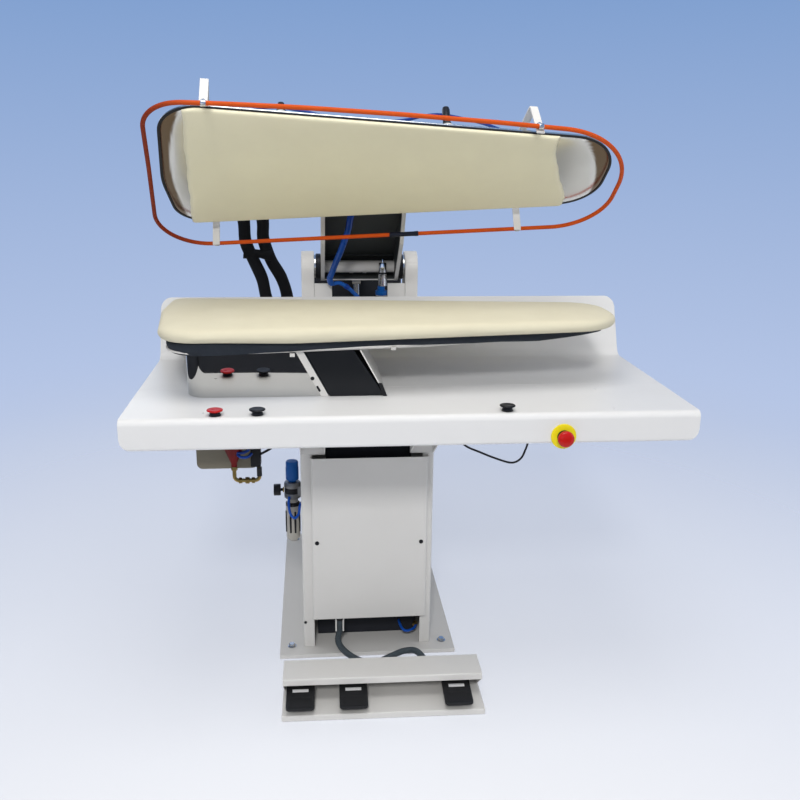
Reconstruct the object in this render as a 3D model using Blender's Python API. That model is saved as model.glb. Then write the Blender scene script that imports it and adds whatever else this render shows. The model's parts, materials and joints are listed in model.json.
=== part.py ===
"""Pneumatic utility ironing press: a padded buck on a table, and a heated head on a rocking arm above it.

Metres, +Z up. The origin is the centre of the base plate's underside, and the operator stands at -Y.
The head is drawn closed on the buck. Its pivot is then turned back to the open position of rest.
"""

import math

import bmesh
import bpy
from mathutils import Matrix, Vector

# Clearances shared by every piece
GAP = 0.0003
OVERRUN = 0.004
RUNNING_GAP = 0.0004
MERGE = 0.00002
EDGE_BREAK = 0.0015

# Base plate
BASE_WIDTH = 0.523
BASE_DEPTH = 0.870
BASE_THICK = 0.012
ANCHOR_RADIUS = 0.0085
ANCHOR_INSET_X = 0.035
ANCHOR_INSET_Y = 0.051

# Column
COLUMN_WIDTH = 0.382
COLUMN_FRONT = -0.391
COLUMN_REAR = 0.312
COLUMN_WALL = 0.004
COLUMN_FLANGE = 0.033
COLUMN_BEND = 0.008
TOP_PLATE_THICK = 0.012
ROD_HOLE_CLEARANCE = 0.003
HOSE_WINDOW_WIDTH = 0.060
HOSE_WINDOW_DEPTH = 0.050
HOSE_WINDOW_Y = 0.1286
HOSE_WINDOW_X = -0.075

# Covers
COVER_WIDTH = 0.332
COVER_SHIFT = 0.006
COVER_LOW = 0.112
COVER_HIGH = 0.616
COVER_SHEET = 0.002
COVER_RETURN = 0.016
COVER_BEND = 0.006
REAR_PANEL_WIDTH = 0.340
REAR_PANEL_LOW = 0.060
REAR_PANEL_HIGH = 0.780

# Table
TABLE_TOP = 0.856
TABLE_SHEET = 0.003
TABLE_WIDTH = 1.384
TABLE_CENTRE = 0.094
TABLE_FRONT = -0.800
TABLE_SEAM = -0.527
TABLE_SEAM_GAP = 0.001
APRON_DROP = 0.076
APRON_ROLL = 0.016
APRON_LIP = 0.020
APRON_LIP_ROLL = 0.008
APRON_CORNER = 0.030
UPSTAND_FOOT = -0.176
UPSTAND_HEIGHT = 0.170
UPSTAND_LEAN = 0.076
UPSTAND_BEND = 0.036
UPSTAND_CORNER = 0.032
TABLE_HOLE_RADIUS = 0.003
TABLE_HOLES = ((0.589, -0.582), (0.581, -0.761), (-0.410, -0.747))
TABLE_ARM_WIDTH = 0.070
TABLE_ARM_LOW = 0.622
TABLE_ARM_REACH = 0.330
TABLE_ARM_THICK = 0.004
TABLE_ARM_TIP = 0.030

# Pivot, shaft and posts
PIVOT_Y = 0.131
PIVOT_Z = 1.088
HEAD_SWING = math.radians(36.5)
SHAFT_RADIUS = 0.0125
TOWER_SHIFT = 0.0035
POST_OUTER = 0.1875
POST_THICK = 0.041
POST_RADIUS = 0.050
SHAFT_END_INSET = 0.003
TOWER_PLATE_THICK = 0.006
TOWER_PLATE_TOP = 1.039
TOWER_PLATE_Y = 0.084
TOWER_NOTCH_WIDTH = 0.180
TOWER_NOTCH_FLOOR = 0.900
REAR_GUARD_Y = 0.297
REAR_GUARD_TOP = 1.072

# Arm
ARM_WIDTH = 0.250
ARM_PLATE = 0.012
ARM_TUBE_RADIUS = 0.0195
ARM_BOSS_RADIUS = 0.046
ARM_WEB = 0.008
ARM_REACH = 0.590
ARM_NOSE_HEIGHT = 0.022
ARM_HEEL_HEIGHT = 0.050
ARM_BACK_START = math.radians(100)
ARM_BACK_END = math.radians(-60)
ARM_CLIMB_Y = -0.085
ARM_UNDERSIDE = 1.046
LEVER_REACH = 0.125
LEVER_PLATE = 0.012
LEVER_ROOT = 0.019
LEVER_TIP = 0.022
SLOT_CLEARANCE = 0.0010

# Pneumatic cylinder
ROD_RADIUS = 0.011
PIN_RADIUS = 0.008
EYE_RADIUS = 0.018
EYE_WIDTH = 0.030
BARREL_RADIUS = 0.046
BARREL_BORE = 0.040
BARREL_LENGTH = 0.235
BARREL_CAP = 0.015
BARREL_SEGMENTS = 24
PISTON_THICK = 0.020
PISTON_CLEARANCE = 0.001

# Plan outline shared by buck and head, closed
PRESS_LEFT = -0.5455
PRESS_LEFT_Y = -0.385
PRESS_LEFT_FRONT = -0.509
PRESS_LEFT_REAR = -0.525
PRESS_RIGHT = 0.658
FRONT_AT_CENTRE = -0.648
FRONT_SLOPE = 0.0986
REAR_AT_CENTRE = -0.2335
REAR_SLOPE = 0.0931
CORNER_LEFT_FRONT = 0.105
CORNER_RIGHT_FRONT = 0.145
CORNER_RIGHT_REAR = 0.115
CORNER_LEFT_REAR = 0.080
CORNER_LEFT_MIDDLE = 0.350
CORNER_STEPS = 7
LEAST_CORNER = 0.006

# Buck
BUCK_TOP = 1.0440
BUCK_PAD_THICK = 0.0400
BUCK_END_GROWTH = 0.008
BUCK_PAD_SLOPE = 0.0105
BUCK_SKIRT_HEIGHT = 0.0190
BUCK_SKIRT_INSET = 0.003
BUCK_PAN_HEIGHT = 0.0090
BUCK_PAN_INSET = 0.001
PAN_PLAN = (
    (-0.515, -0.688),
    (0.160, -0.592),
    (0.655, -0.425),
    (0.655, -0.325),
    (0.160, -0.262),
    (-0.515, -0.196),
)
PAN_CORNERS = (0.090, 0.700, 0.045, 0.045, 0.700, 0.090)

# Pedestal box and suction duct under the buck
PEDESTAL_LEFT = -0.467
PEDESTAL_FRONT = -0.614
PEDESTAL_DEPTH = 0.330
PEDESTAL_CORNER = 0.050
DUCT_LEFT = -0.109
DUCT_WIDTH = 0.140
DUCT_TOP_WIDTH = 0.122
DUCT_LEAN = 0.063
DUCT_FRONT = -0.617
DUCT_DEPTH = 0.300
DUCT_PLATE_GAP = 0.002

# Head
PRESS_CLEARANCE = 0.001
HEAD_PAD_THICK = 0.0085
HEAD_PAD_LEFT = (-0.440, -0.690)
HEAD_PAD_LEFT_REAR = (-0.502, -0.150)
HEAD_PAD_RIGHT = (0.466, -0.640)
HEAD_PAD_RIGHT_REAR = (0.572, -0.260)
HEAD_PLATE_INSET = 0.096
HEAD_PLATE_THICK = 0.008
HEAD_SHELL_HEIGHT = 0.052
HEAD_RIB_THICK = 0.008
HEAD_RIB_HEIGHT = 0.026
HEAD_RIB_REACH = 0.270
HEAD_RIB_GAP = 0.012
RING_FRONT_MARGIN = 0.060
RING_REAR_MARGIN = 0.050
RING_LEFT_FRONT = -0.532
RING_LEFT_REAR = -0.592
RING_RIGHT = 0.683
RING_CORNERS = (0.095, 0.225, 0.155, 0.105)
RING_FRONT_DROP = 0.017
RING_REAR_DROP = 0.033
RING_RADIUS = 0.0062
RING_SPACING = 0.040
BRACKET_WIDTH = 0.020
BRACKET_THICK = 0.004
BRACKET_BEND = 0.008
BRACKET_PEAK = 0.030
BRACKET_TAIL = 0.008
BRACKET_SEAT = 0.030
FRONT_BRACKETS_X = (-0.398, 0.411)
REAR_BRACKETS_X = (-0.428, 0.442)

# Fittings and tube on the back of the head
FITTING_RADIUS = 0.010
FITTING_HEX_RADIUS = 0.014
FITTING_HEX_HEIGHT = 0.010
FITTING_INSET = 0.052
FITTING_SEAT_CLEARANCE = 0.0066
LEFT_FITTING = (-0.220, 0.031)
RIGHT_FITTING = (0.200, 0.059)
HEAD_TUBE_RADIUS = 0.004

# Hoses, cords and tubes: route points are chosen by hand
HOSE_RADIUS = 0.018
HOSE_SPACING = 0.045
HOSE_SEAT_GAP = 0.0006
CONDUIT_START_GAP = 0.0015
LEFT_HOSE_ROOT = (-0.375, -0.330)
RIGHT_HOSE_ROOT = (-0.318, -0.330)
LEFT_HOSE_ROUTE = (
    (-0.374, -0.120, 1.462),
    (-0.372, -0.030, 1.430),
    (-0.366, 0.040, 1.340),
    (-0.360, 0.085, 1.233),
    (-0.358, 0.102, 1.170),
    (-0.336, 0.113, 1.112),
    (-0.311, 0.125, 1.050),
    (-0.300, 0.135, 0.988),
    (-0.276, 0.138, 0.900),
    (-0.250, 0.140, 0.810),
    (-0.205, 0.140, 0.735),
    (-0.160, 0.140, 0.690),
)
RIGHT_HOSE_ROUTE = (
    (-0.314, -0.120, 1.462),
    (-0.311, -0.030, 1.430),
    (-0.306, 0.040, 1.340),
    (-0.301, 0.085, 1.233),
    (-0.302, 0.105, 1.178),
    (-0.281, 0.125, 1.110),
    (-0.250, 0.145, 1.050),
    (-0.233, 0.160, 0.987),
    (-0.228, 0.176, 0.900),
    (-0.222, 0.190, 0.830),
    (-0.195, 0.205, 0.770),
    (-0.155, 0.215, 0.725),
)
HOSE_PORT_LOW = (0.105, 0.665)
HOSE_PORT_HIGH = (0.250, 0.828)
HOSE_PORT_CORNER = 0.020
ARM_HOSE_RADIUS = 0.0075
ARM_HOSE_SPACING = 0.012
ARM_HOSE_ROOT = (-0.022, -0.212)
ARM_HOSE_DROP = 0.028
ARM_HOSE_ROUTE = (
    (-0.035, -0.118, 1.263),
    (-0.040, -0.090, 1.226),
    (-0.061, -0.040, 1.158),
    (-0.076, -0.005, 1.117),
    (-0.087, 0.028, 1.082),
    (-0.094, 0.052, 1.057),
    (-0.086, 0.066, 1.041),
    (-0.064, 0.072, 1.043),
    (-0.040, 0.078, 1.030),
    (-0.017, 0.092, 1.008),
    (0.000, 0.108, 0.986),
    (-0.009, 0.125, 0.957),
    (-0.050, 0.138, 0.920),
    (-0.070, 0.145, 0.862),
    (-0.074, 0.146, 0.800),
)
CONDUIT_RADIUS = 0.0095
CONDUIT_SPACING = 0.024
GLAND_X = -0.083
GLAND_Z = 0.099
GLAND_RADIUS = 0.019
GLAND_LENGTH = 0.034
CONDUIT_ROUTE = (
    (-0.083, -0.381, 0.056),
    (-0.0885, -0.394, 0.034),
    (-0.080, -0.425, 0.0258),
    (-0.055, -0.460, 0.0190),
    (-0.018, -0.482, 0.0105),
    (0.022, -0.488, 0.0102),
    (0.062, -0.474, 0.018),
    (0.106, -0.466, 0.030),
    (0.142, -0.482, 0.035),
    (0.166, -0.520, 0.036),
)
CABLE_RADIUS = 0.0026
CABLE_SPACING = 0.010
CABLE_ROUTE = (
    (0.430, -0.744, 0.799),
    (0.405, -0.722, 0.788),
    (0.389, -0.706, 0.765),
    (0.382, -0.700, 0.736),
    (0.370, -0.700, 0.709),
    (0.347, -0.700, 0.698),
    (0.309, -0.700, 0.709),
    (0.264, -0.700, 0.728),
    (0.226, -0.697, 0.746),
    (0.212, -0.660, 0.764),
    (0.202, -0.620, 0.782),
)
CABLE_END = (-0.600, 0.794)

# Push buttons on the table
RED_BUTTON = (-0.380, -0.769)
LEFT_BLACK_BUTTON = (-0.282, -0.769)
RIGHT_BLACK_BUTTON = (0.314, -0.769)
BUTTON_COLLAR_RADIUS = 0.0125
BUTTON_COLLAR_HEIGHT = 0.0070
BUTTON_COLLAR_FLARE = 0.0140
BUTTON_STEM_RADIUS = 0.008
BUTTON_CAP_RADIUS = 0.0192
BUTTON_CAP_THICK = 0.0045
BUTTON_TRAVEL = 0.003
BUTTON_STEM_DEPTH = 0.006

# Emergency stop on the apron
STOP_X = 0.447
STOP_Z = 0.799
STOP_DISC_RADIUS = 0.031
STOP_DISC_THICK = 0.004
STOP_COLLAR_RADIUS = 0.015
STOP_COLLAR_LENGTH = 0.010
STOP_HEAD_RADIUS = 0.020
STOP_HEAD_LENGTH = 0.016
STOP_TRAVEL = 0.004
STOP_STEM_RADIUS = 0.009
STOP_STEM_DEPTH = 0.008
STOP_NECK_RADIUS = 0.0106
STOP_BACK_RADIUS = 0.0112
STOP_BACK_LENGTH = 0.034

# Fittings under the table's left end
PLATE_LEFT = -0.437
PLATE_RIGHT = -0.289
PLATE_Y = -0.700
PLATE_LOW = 0.699
PLATE_THICK = 0.003
PLATE_CORNER = 0.014
FUNNEL_X = -0.344
FUNNEL_Y = -0.732
FUNNEL_LOW = 0.716
FUNNEL_MOUTH_Z = 0.776
FUNNEL_MOUTH_RADIUS = 0.0275
FUNNEL_THROAT_Z = 0.724
FUNNEL_THROAT_RADIUS = 0.0072
FUNNEL_WALL = 0.0025
DRAIN_RADIUS = 0.0055
DRAIN_SPACING = 0.012
DRAIN_DROP = 0.037
DRAIN_RUN = 0.060
VALVE_WIDTH = 0.024
VALVE_DEPTH = 0.024
VALVE_LOW = 0.714
VALVE_HIGH = 0.772
VALVE_ASIDE = 0.008
VALVE_GAP = 0.0003

# Air regulator on the column's left side
REGULATOR_Y = -0.230
REGULATOR_Z = 0.457
REGULATOR_RADIUS = 0.025
REGULATOR_BODY_HEIGHT = 0.052
REGULATOR_STAND_OFF = 0.003
REGULATOR_KNOB_RADIUS = 0.0195
REGULATOR_KNOB_HEIGHT = 0.059
REGULATOR_NECK_RADIUS = 0.012
REGULATOR_NECK_HEIGHT = 0.007
REGULATOR_KNOB_TURN = math.radians(300)
BRACKET_BLOCK_WIDTH = 0.036
BRACKET_BLOCK_HEIGHT = 0.030
BOWL_RADIUS = 0.0215
BOWL_HEIGHT = 0.141
BOWL_NECK_RADIUS = 0.016
BOWL_NECK_HEIGHT = 0.012
BOWL_END_RADIUS = 0.013
SIDE_STEM_RADIUS = 0.0045
SIDE_STEM_LENGTH = 0.010
SIDE_KNOB_RADIUS = 0.0180
SIDE_KNOB_LENGTH = 0.021
SIDE_KNOB_TURN = math.radians(90)

# Pedal unit, loose on the floor and a little turned
UNIT_X = 0.0255
UNIT_Y = -0.6675
UNIT_TURN = math.radians(-0.9)
TRAY_WIDTH = 0.543
TRAY_DEPTH = 0.155
TRAY_HEIGHT = 0.018
TRAY_SHEET = 0.002
TRAY_BEND = 0.003
HOOD_WIDTH = 0.539
HOOD_DEPTH = 0.098
HOOD_TOP = 0.090
HOOD_LIP = 0.019
HOOD_SHEET = 0.002
HOOD_BEND = 0.004
PEDAL_WIDTH = 0.076
PEDAL_LENGTH = 0.139
PEDAL_THICK = 0.009
PEDAL_CORNER = 0.010
PEDAL_TILT = math.radians(7.0)
PEDAL_TRAVEL = math.radians(5.0)
PEDAL_AXIS_INSET = 0.024
PEDAL_AXIS_HEIGHT = 0.0560
PEDAL_BARREL_RADIUS = 0.0095
PEDAL_SHAFT_RADIUS = 0.0045
PEDAL_TREAD_RAISE = 0.0012
PEDAL_TREAD_MARGIN = 0.008
LEFT_PEDAL_X = -0.197
MIDDLE_PEDAL_X = -0.055
RIGHT_PEDAL_X = 0.226

# Values that follow from the sizes above
HALF_COLUMN = COLUMN_WIDTH / 2
GLAND_Y = COLUMN_FRONT - COVER_RETURN + GLAND_RADIUS
BASE_TOP = BASE_THICK
TABLE_UNDERSIDE = TABLE_TOP - TABLE_SHEET
TOP_PLATE_HIGH = TABLE_UNDERSIDE - GAP
TOP_PLATE_LOW = TOP_PLATE_HIGH - TOP_PLATE_THICK
COLUMN_LOW = BASE_TOP + GAP
COLUMN_HIGH = TOP_PLATE_LOW - GAP
ROD_Y = PIVOT_Y + LEVER_REACH
ROD_REACH = LEVER_REACH * math.tan(HEAD_SWING / 2)
PIN_Z = PIVOT_Z - ROD_REACH
POST_INNER = POST_OUTER - POST_THICK
HALF_ARM = ARM_WIDTH / 2
BUTTON_SPOTS = (
    ("red_button", *RED_BUTTON),
    ("left_black_button", *LEFT_BLACK_BUTTON),
    ("right_black_button", *RIGHT_BLACK_BUTTON),
)
TABLE_LEFT = TABLE_CENTRE - TABLE_WIDTH / 2
TABLE_RIGHT = TABLE_CENTRE + TABLE_WIDTH / 2
BUCK_PAD_LOW = BUCK_TOP - BUCK_PAD_THICK
BUCK_SKIRT_LOW = BUCK_PAD_LOW - GAP - BUCK_SKIRT_HEIGHT
BUCK_PAN_HIGH = BUCK_SKIRT_LOW - GAP
BUCK_PAN_LOW = BUCK_PAN_HIGH - BUCK_PAN_HEIGHT
UNDER_BUCK_LOW = TABLE_TOP + GAP
UNDER_BUCK_HIGH = BUCK_PAN_LOW - GAP
HEAD_FACE = BUCK_TOP + PRESS_CLEARANCE
SHELL_LOW = HEAD_FACE + HEAD_PAD_THICK + GAP
SHELL_HIGH = SHELL_LOW + HEAD_SHELL_HEIGHT
HEAD_PLATE_LOW = SHELL_HIGH + GAP
HEAD_PLATE_HIGH = HEAD_PLATE_LOW + HEAD_PLATE_THICK
ARM_SEAT = HEAD_PLATE_HIGH + GAP
HALF_ROUND = 8
FULL_ROUND = 16
FINE_ROUND = 24
ROUTE_STEPS = 24
BEND_STEPS = 4
SMOOTH_ANGLE = math.radians(35)

SLOT_COLOURS = {
    "white_paint": ((0.80, 0.80, 0.78), 0.45, 0.0),
    "table_paint": ((0.78, 0.78, 0.77), 0.35, 0.0),
    "cream_cloth": ((0.83, 0.79, 0.62), 0.85, 0.0),
    "grey_felt": ((0.05, 0.055, 0.065), 0.95, 0.0),
    "polished_steel": ((0.75, 0.75, 0.74), 0.08, 1.0),
    "bright_steel": ((0.60, 0.60, 0.60), 0.25, 1.0),
    "black_rubber": ((0.02, 0.02, 0.02), 0.60, 0.0),
    "black_plastic": ((0.02, 0.02, 0.022), 0.40, 0.0),
    "red_plastic": ((0.62, 0.02, 0.02), 0.35, 0.0),
    "yellow_plastic": ((0.85, 0.72, 0.02), 0.40, 0.0),
    "blue_plastic": ((0.01, 0.09, 0.30), 0.40, 0.0),
    "orange_silicone": ((0.75, 0.13, 0.02), 0.45, 0.0),
    "blue_tube": ((0.01, 0.06, 0.42), 0.35, 0.0),
    "grey_conduit": ((0.13, 0.15, 0.17), 0.55, 0.0),
    "brass": ((0.60, 0.42, 0.12), 0.30, 1.0),
    "zinc_grey": ((0.36, 0.36, 0.34), 0.40, 0.6),
    "olive_steel": ((0.42, 0.41, 0.36), 0.45, 0.6),
}


def clear_scene():
    for obj in list(bpy.data.objects):
        bpy.data.objects.remove(obj, do_unlink=True)


def material(slot):
    """The Principled material of this name, made on first use."""
    found = bpy.data.materials.get(slot)
    if found:
        return found
    colour, roughness, metallic = SLOT_COLOURS[slot]
    made = bpy.data.materials.new(slot)
    made.use_nodes = True
    shader = made.node_tree.nodes["Principled BSDF"]
    shader.inputs["Base Color"].default_value = (*colour, 1.0)
    shader.inputs["Roughness"].default_value = roughness
    shader.inputs["Metallic"].default_value = metallic
    return made


def shade(mesh):
    mesh.shade_smooth()
    mesh.set_sharp_from_angle(angle=SMOOTH_ANGLE)


def object_from(bm, name, slot):
    """Closes off a bmesh as an object whose faces point outwards."""
    bmesh.ops.remove_doubles(bm, verts=bm.verts, dist=MERGE)
    bmesh.ops.recalc_face_normals(bm, faces=bm.faces)
    if bm.calc_volume(signed=True) < 0:
        bmesh.ops.reverse_faces(bm, faces=bm.faces)
    mesh = bpy.data.meshes.new(name)
    bm.to_mesh(mesh)
    bm.free()
    shade(mesh)
    obj = bpy.data.objects.new(name, mesh)
    bpy.context.collection.objects.link(obj)
    obj.data.materials.append(material(slot))
    return obj


def helper(obj):
    """A cutter or a piece to be fused: it isn't a sub-part itself."""
    obj.hide_render = True
    obj.display_type = "WIRE"
    return obj


def boolean(target, other, operation):
    helper(other)
    modifier = target.modifiers.new(f"{operation.lower()}_{other.name}", "BOOLEAN")
    modifier.operation = operation
    modifier.object = other


def cut(target, *cutters):
    for cutter in cutters:
        boolean(target, cutter, "DIFFERENCE")
    return target


def fuse(target, *others):
    for other in others:
        boolean(target, other, "UNION")
    return target


def soften(obj, width=EDGE_BREAK, segments=1):
    """Breaks the sharp edges that stand before it in the modifier list."""
    modifier = obj.modifiers.new("broken_edges", "BEVEL")
    modifier.width = width
    modifier.segments = segments
    modifier.limit_method = "ANGLE"
    modifier.angle_limit = math.radians(50)
    return obj


def filleted(corners, radii, steps=BEND_STEPS):
    """The closed outline through the corners, each turned into an arc of its radius."""
    outline = []
    count = len(corners)
    for index, corner in enumerate(corners):
        here = Vector(corner)
        before = (Vector(corners[index - 1]) - here).normalized()
        after = (Vector(corners[(index + 1) % count]) - here).normalized()
        outline += corner_arc(here, before, after, radii[index], steps)
    return outline


def corner_arc(here, before, after, radius, steps):
    """Points on the arc that rounds one corner between two unit directions."""
    if radius <= 0:
        return [tuple(here)]
    half = before.angle(after) / 2
    centre = here + (before + after).normalized() * (radius / math.sin(half))
    start = here + before * (radius / math.tan(half)) - centre
    end = here + after * (radius / math.tan(half)) - centre
    turn = start.angle(end)
    points = []
    for step in range(steps + 1):
        share = step / steps
        along = (start * math.sin((1 - share) * turn) + end * math.sin(share * turn)) / math.sin(turn)
        points.append(tuple(centre + along))
    return points


def sheet_outline(path, radii, thickness, steps=BEND_STEPS):
    """The closed outline of a bent sheet whose outer face follows the path, its bends rounded.

    The material lies to the left of the path as it is walked.
    """
    outer = open_fillets(path, radii, steps)
    inner = []
    for index, point in enumerate(outer):
        ahead = Vector(outer[min(index + 1, len(outer) - 1)])
        behind = Vector(outer[max(index - 1, 0)])
        along = (ahead - behind).normalized()
        inner.append(tuple(Vector(point) + Vector((-along.y, along.x)) * thickness))
    return outer + inner[::-1]


def open_fillets(path, radii, steps):
    """The open path through these points, each inner one turned into an arc of its radius."""
    points = [tuple(path[0])]
    for index in range(1, len(path) - 1):
        here = Vector(path[index])
        before = (Vector(path[index - 1]) - here).normalized()
        after = (Vector(path[index + 1]) - here).normalized()
        points += corner_arc(here, before, after, radii[index - 1], steps)
    points.append(tuple(path[-1]))
    return points


def capsule_outline(start, end, start_radius, end_radius, steps=HALF_ROUND):
    """The outline of a bar whose two ends are rounded about their own centres."""
    first, last = Vector(start), Vector(end)
    heading = math.atan2(last.y - first.y, last.x - first.x)
    points = []
    for centre, radius, facing in ((last, end_radius, heading), (first, start_radius, heading + math.pi)):
        for step in range(steps + 1):
            angle = facing - math.pi / 2 + math.pi * step / steps
            points.append((centre.x + radius * math.cos(angle), centre.y + radius * math.sin(angle)))
    return points


def along_axis(axis, first, second, depth):
    """A point from its two coordinates across an axis and the one along it."""
    return {
        "x": (depth, first, second),
        "y": (first, depth, second),
        "z": (first, second, depth),
    }[axis]


def prism(name, slot, axis, outline, low, high):
    """The outline, drawn across an axis, extruded along it from low to high."""
    bm = bmesh.new()
    ring = [bm.verts.new(along_axis(axis, first, second, low)) for first, second in outline]
    face = bm.faces.new(ring)
    grown = bmesh.ops.extrude_face_region(bm, geom=[face])
    moved = [item for item in grown["geom"] if isinstance(item, bmesh.types.BMVert)]
    bmesh.ops.translate(bm, verts=moved, vec=along_axis(axis, 0, 0, high - low))
    return object_from(bm, name, slot)


def block(name, slot, low, high):
    outline = ((low[0], low[1]), (high[0], low[1]), (high[0], high[1]), (low[0], high[1]))
    return prism(name, slot, "z", outline, low[2], high[2])


def turned(name, slot, profile, centre, axis, steps=FULL_ROUND):
    """A profile of (radius, distance along the axis) pairs, spun round the axis through the centre.

    A profile that starts and ends on the axis makes a whole body. Any other is taken as a closed ring.
    """
    bm = bmesh.new()
    verts = [bm.verts.new((radius, 0, along)) for radius, along in profile]
    closed = profile[0][0] > 0
    pairs = list(zip(verts, verts[1:])) + ([(verts[-1], verts[0])] if closed else [])
    edges = [bm.edges.new(pair) for pair in pairs]
    bmesh.ops.spin(
        bm,
        geom=verts + edges,
        cent=(0, 0, 0),
        axis=(0, 0, 1),
        angle=math.tau,
        steps=steps,
        use_merge=True,
    )
    turn = Vector((0, 0, 1)).rotation_difference(Vector(axis)).to_matrix()
    bmesh.ops.rotate(bm, cent=(0, 0, 0), matrix=turn, verts=bm.verts)
    obj = object_from(bm, name, slot)
    obj.location = centre
    return obj


def rod_between(name, slot, start, end, radius, steps=FULL_ROUND):
    """A plain round bar from one point to another."""
    along = Vector(end) - Vector(start)
    profile = ((0, 0), (radius, 0), (radius, along.length), (0, along.length))
    return turned(name, slot, profile, start, along.normalized(), steps)


def loft(name, slot, rings):
    """Closed rings of equal count joined one to the next, with the first and the last filled."""
    bm = bmesh.new()
    loops = [[bm.verts.new(point) for point in ring] for ring in rings]
    count = len(loops[0])
    for lower, upper in zip(loops, loops[1:]):
        for index in range(count):
            following = (index + 1) % count
            bm.faces.new((lower[index], lower[following], upper[following], upper[index]))
    bm.faces.new(loops[0][::-1])
    bm.faces.new(loops[-1])
    return object_from(bm, name, slot)


def smooth_route(knots, spacing):
    """Points at an even spacing on the smooth curve through the knots."""
    points = [Vector(knot) for knot in knots]
    ends = [2 * points[0] - points[1], *points, 2 * points[-1] - points[-2]]
    dense = [points[0]]
    for index in range(len(points) - 1):
        before, start, end, after = ends[index : index + 4]
        for step in range(ROUTE_STEPS):
            dense.append(between(before, start, end, after, (step + 1) / ROUTE_STEPS))
    lengths = [0.0]
    for first, second in zip(dense, dense[1:]):
        lengths.append(lengths[-1] + (second - first).length)
    count = max(2, round(lengths[-1] / spacing))
    route, place = [], 0
    for step in range(count + 1):
        wanted = lengths[-1] * step / count
        while place < len(lengths) - 2 and lengths[place + 1] < wanted:
            place += 1
        share = (wanted - lengths[place]) / (lengths[place + 1] - lengths[place])
        route.append(dense[place].lerp(dense[place + 1], min(share, 1.0)))
    return route


def between(before, start, end, after, share):
    """One point of the Catmull-Rom curve from start to end."""
    square, cube = share**2, share**3
    return 0.5 * (
        2 * start
        + (end - before) * share
        + (2 * before - 5 * start + 4 * end - after) * square
        + (3 * start - before - 3 * end + after) * cube
    )


def tube(name, slot, points, radius, cyclic=False, resolution=2):
    """A round tube along points: a curve with a bevel depth and filled caps."""
    curve = bpy.data.curves.new(name, "CURVE")
    curve.dimensions = "3D"
    curve.bevel_depth = radius
    curve.bevel_resolution = resolution
    curve.use_fill_caps = True
    spline = curve.splines.new("POLY")
    spline.points.add(len(points) - 1)
    for spot, point in zip(spline.points, points):
        spot.co = (*point, 1.0)
    spline.use_cyclic_u = cyclic
    spline.use_smooth = True
    obj = bpy.data.objects.new(name, curve)
    bpy.context.collection.objects.link(obj)
    obj.data.materials.append(material(slot))
    return obj


def empty(name, place, turn=(0, 0, 0), parent=None):
    obj = bpy.data.objects.new(name, None)
    bpy.context.collection.objects.link(obj)
    obj.location = place
    obj.rotation_euler = turn
    obj.parent = parent
    return obj


def hang_on(pivot, place, *objs):
    """Parents pieces drawn in closed position to a pivot that stands at this place."""
    for obj in objs:
        obj.parent = pivot
        obj.location = obj.location - Vector(place)


def front_edge(x):
    return FRONT_AT_CENTRE + FRONT_SLOPE * x


def rear_edge(x):
    return REAR_AT_CENTRE - REAR_SLOPE * x


def press_outline(inset, end_inset=None):
    """The tapered plan outline of buck and head, drawn in by the inset, or out where it is negative.

    The two ends take an inset of their own where it is given.
    """
    ends = inset if end_inset is None else end_inset
    front_drop = inset * math.hypot(1, FRONT_SLOPE)
    rear_drop = inset * math.hypot(1, REAR_SLOPE)
    left_front, left_rear = PRESS_LEFT_FRONT + ends, PRESS_LEFT_REAR + ends
    right = PRESS_RIGHT - ends
    corners = (
        (left_front, front_edge(left_front) + front_drop),
        (right, front_edge(right) + front_drop),
        (right, rear_edge(right) - rear_drop),
        (left_rear, rear_edge(left_rear) - rear_drop),
        (PRESS_LEFT + ends, PRESS_LEFT_Y),
    )
    turns = (
        CORNER_LEFT_FRONT,
        CORNER_RIGHT_FRONT,
        CORNER_RIGHT_REAR,
        CORNER_LEFT_REAR,
        CORNER_LEFT_MIDDLE,
    )
    radii = [max(radius - inset, LEAST_CORNER) for radius in turns]
    return filleted(corners, radii, CORNER_STEPS)


def press_rings(levels, growth=0.0):
    """The plan outline at each (inset, height), its two ends grown outwards."""
    return [[(x, y, height) for x, y in press_outline(inset, inset - growth)] for inset, height in levels]


def pan_rings(levels):
    """The narrower plan of pan and skirt at each (inset, height)."""
    rings = []
    middle = sum((Vector(corner) for corner in PAN_PLAN), Vector((0, 0))) / len(PAN_PLAN)
    half_depth = (PAN_PLAN[-1][1] - PAN_PLAN[0][1]) / 2
    for inset, height in levels:
        scale = 1 - inset / half_depth
        corners = [tuple(middle + (Vector(corner) - middle) * scale) for corner in PAN_PLAN]
        rings.append([(x, y, height) for x, y in filleted(corners, PAN_CORNERS, CORNER_STEPS)])
    return rings


def base_plate():
    half_width, half_depth = BASE_WIDTH / 2, BASE_DEPTH / 2
    plate = block("base_plate", "white_paint", (-half_width, -half_depth, 0), (half_width, half_depth, BASE_TOP))
    for side in (-1, 1):
        for end in (-1, 1):
            spot = (side * (half_width - ANCHOR_INSET_X), end * (half_depth - ANCHOR_INSET_Y))
            hole = rod_between(
                f"anchor_hole_{side}_{end}",
                "white_paint",
                (*spot, -OVERRUN),
                (*spot, BASE_TOP + OVERRUN),
                ANCHOR_RADIUS,
            )
            cut(plate, hole)


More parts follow.
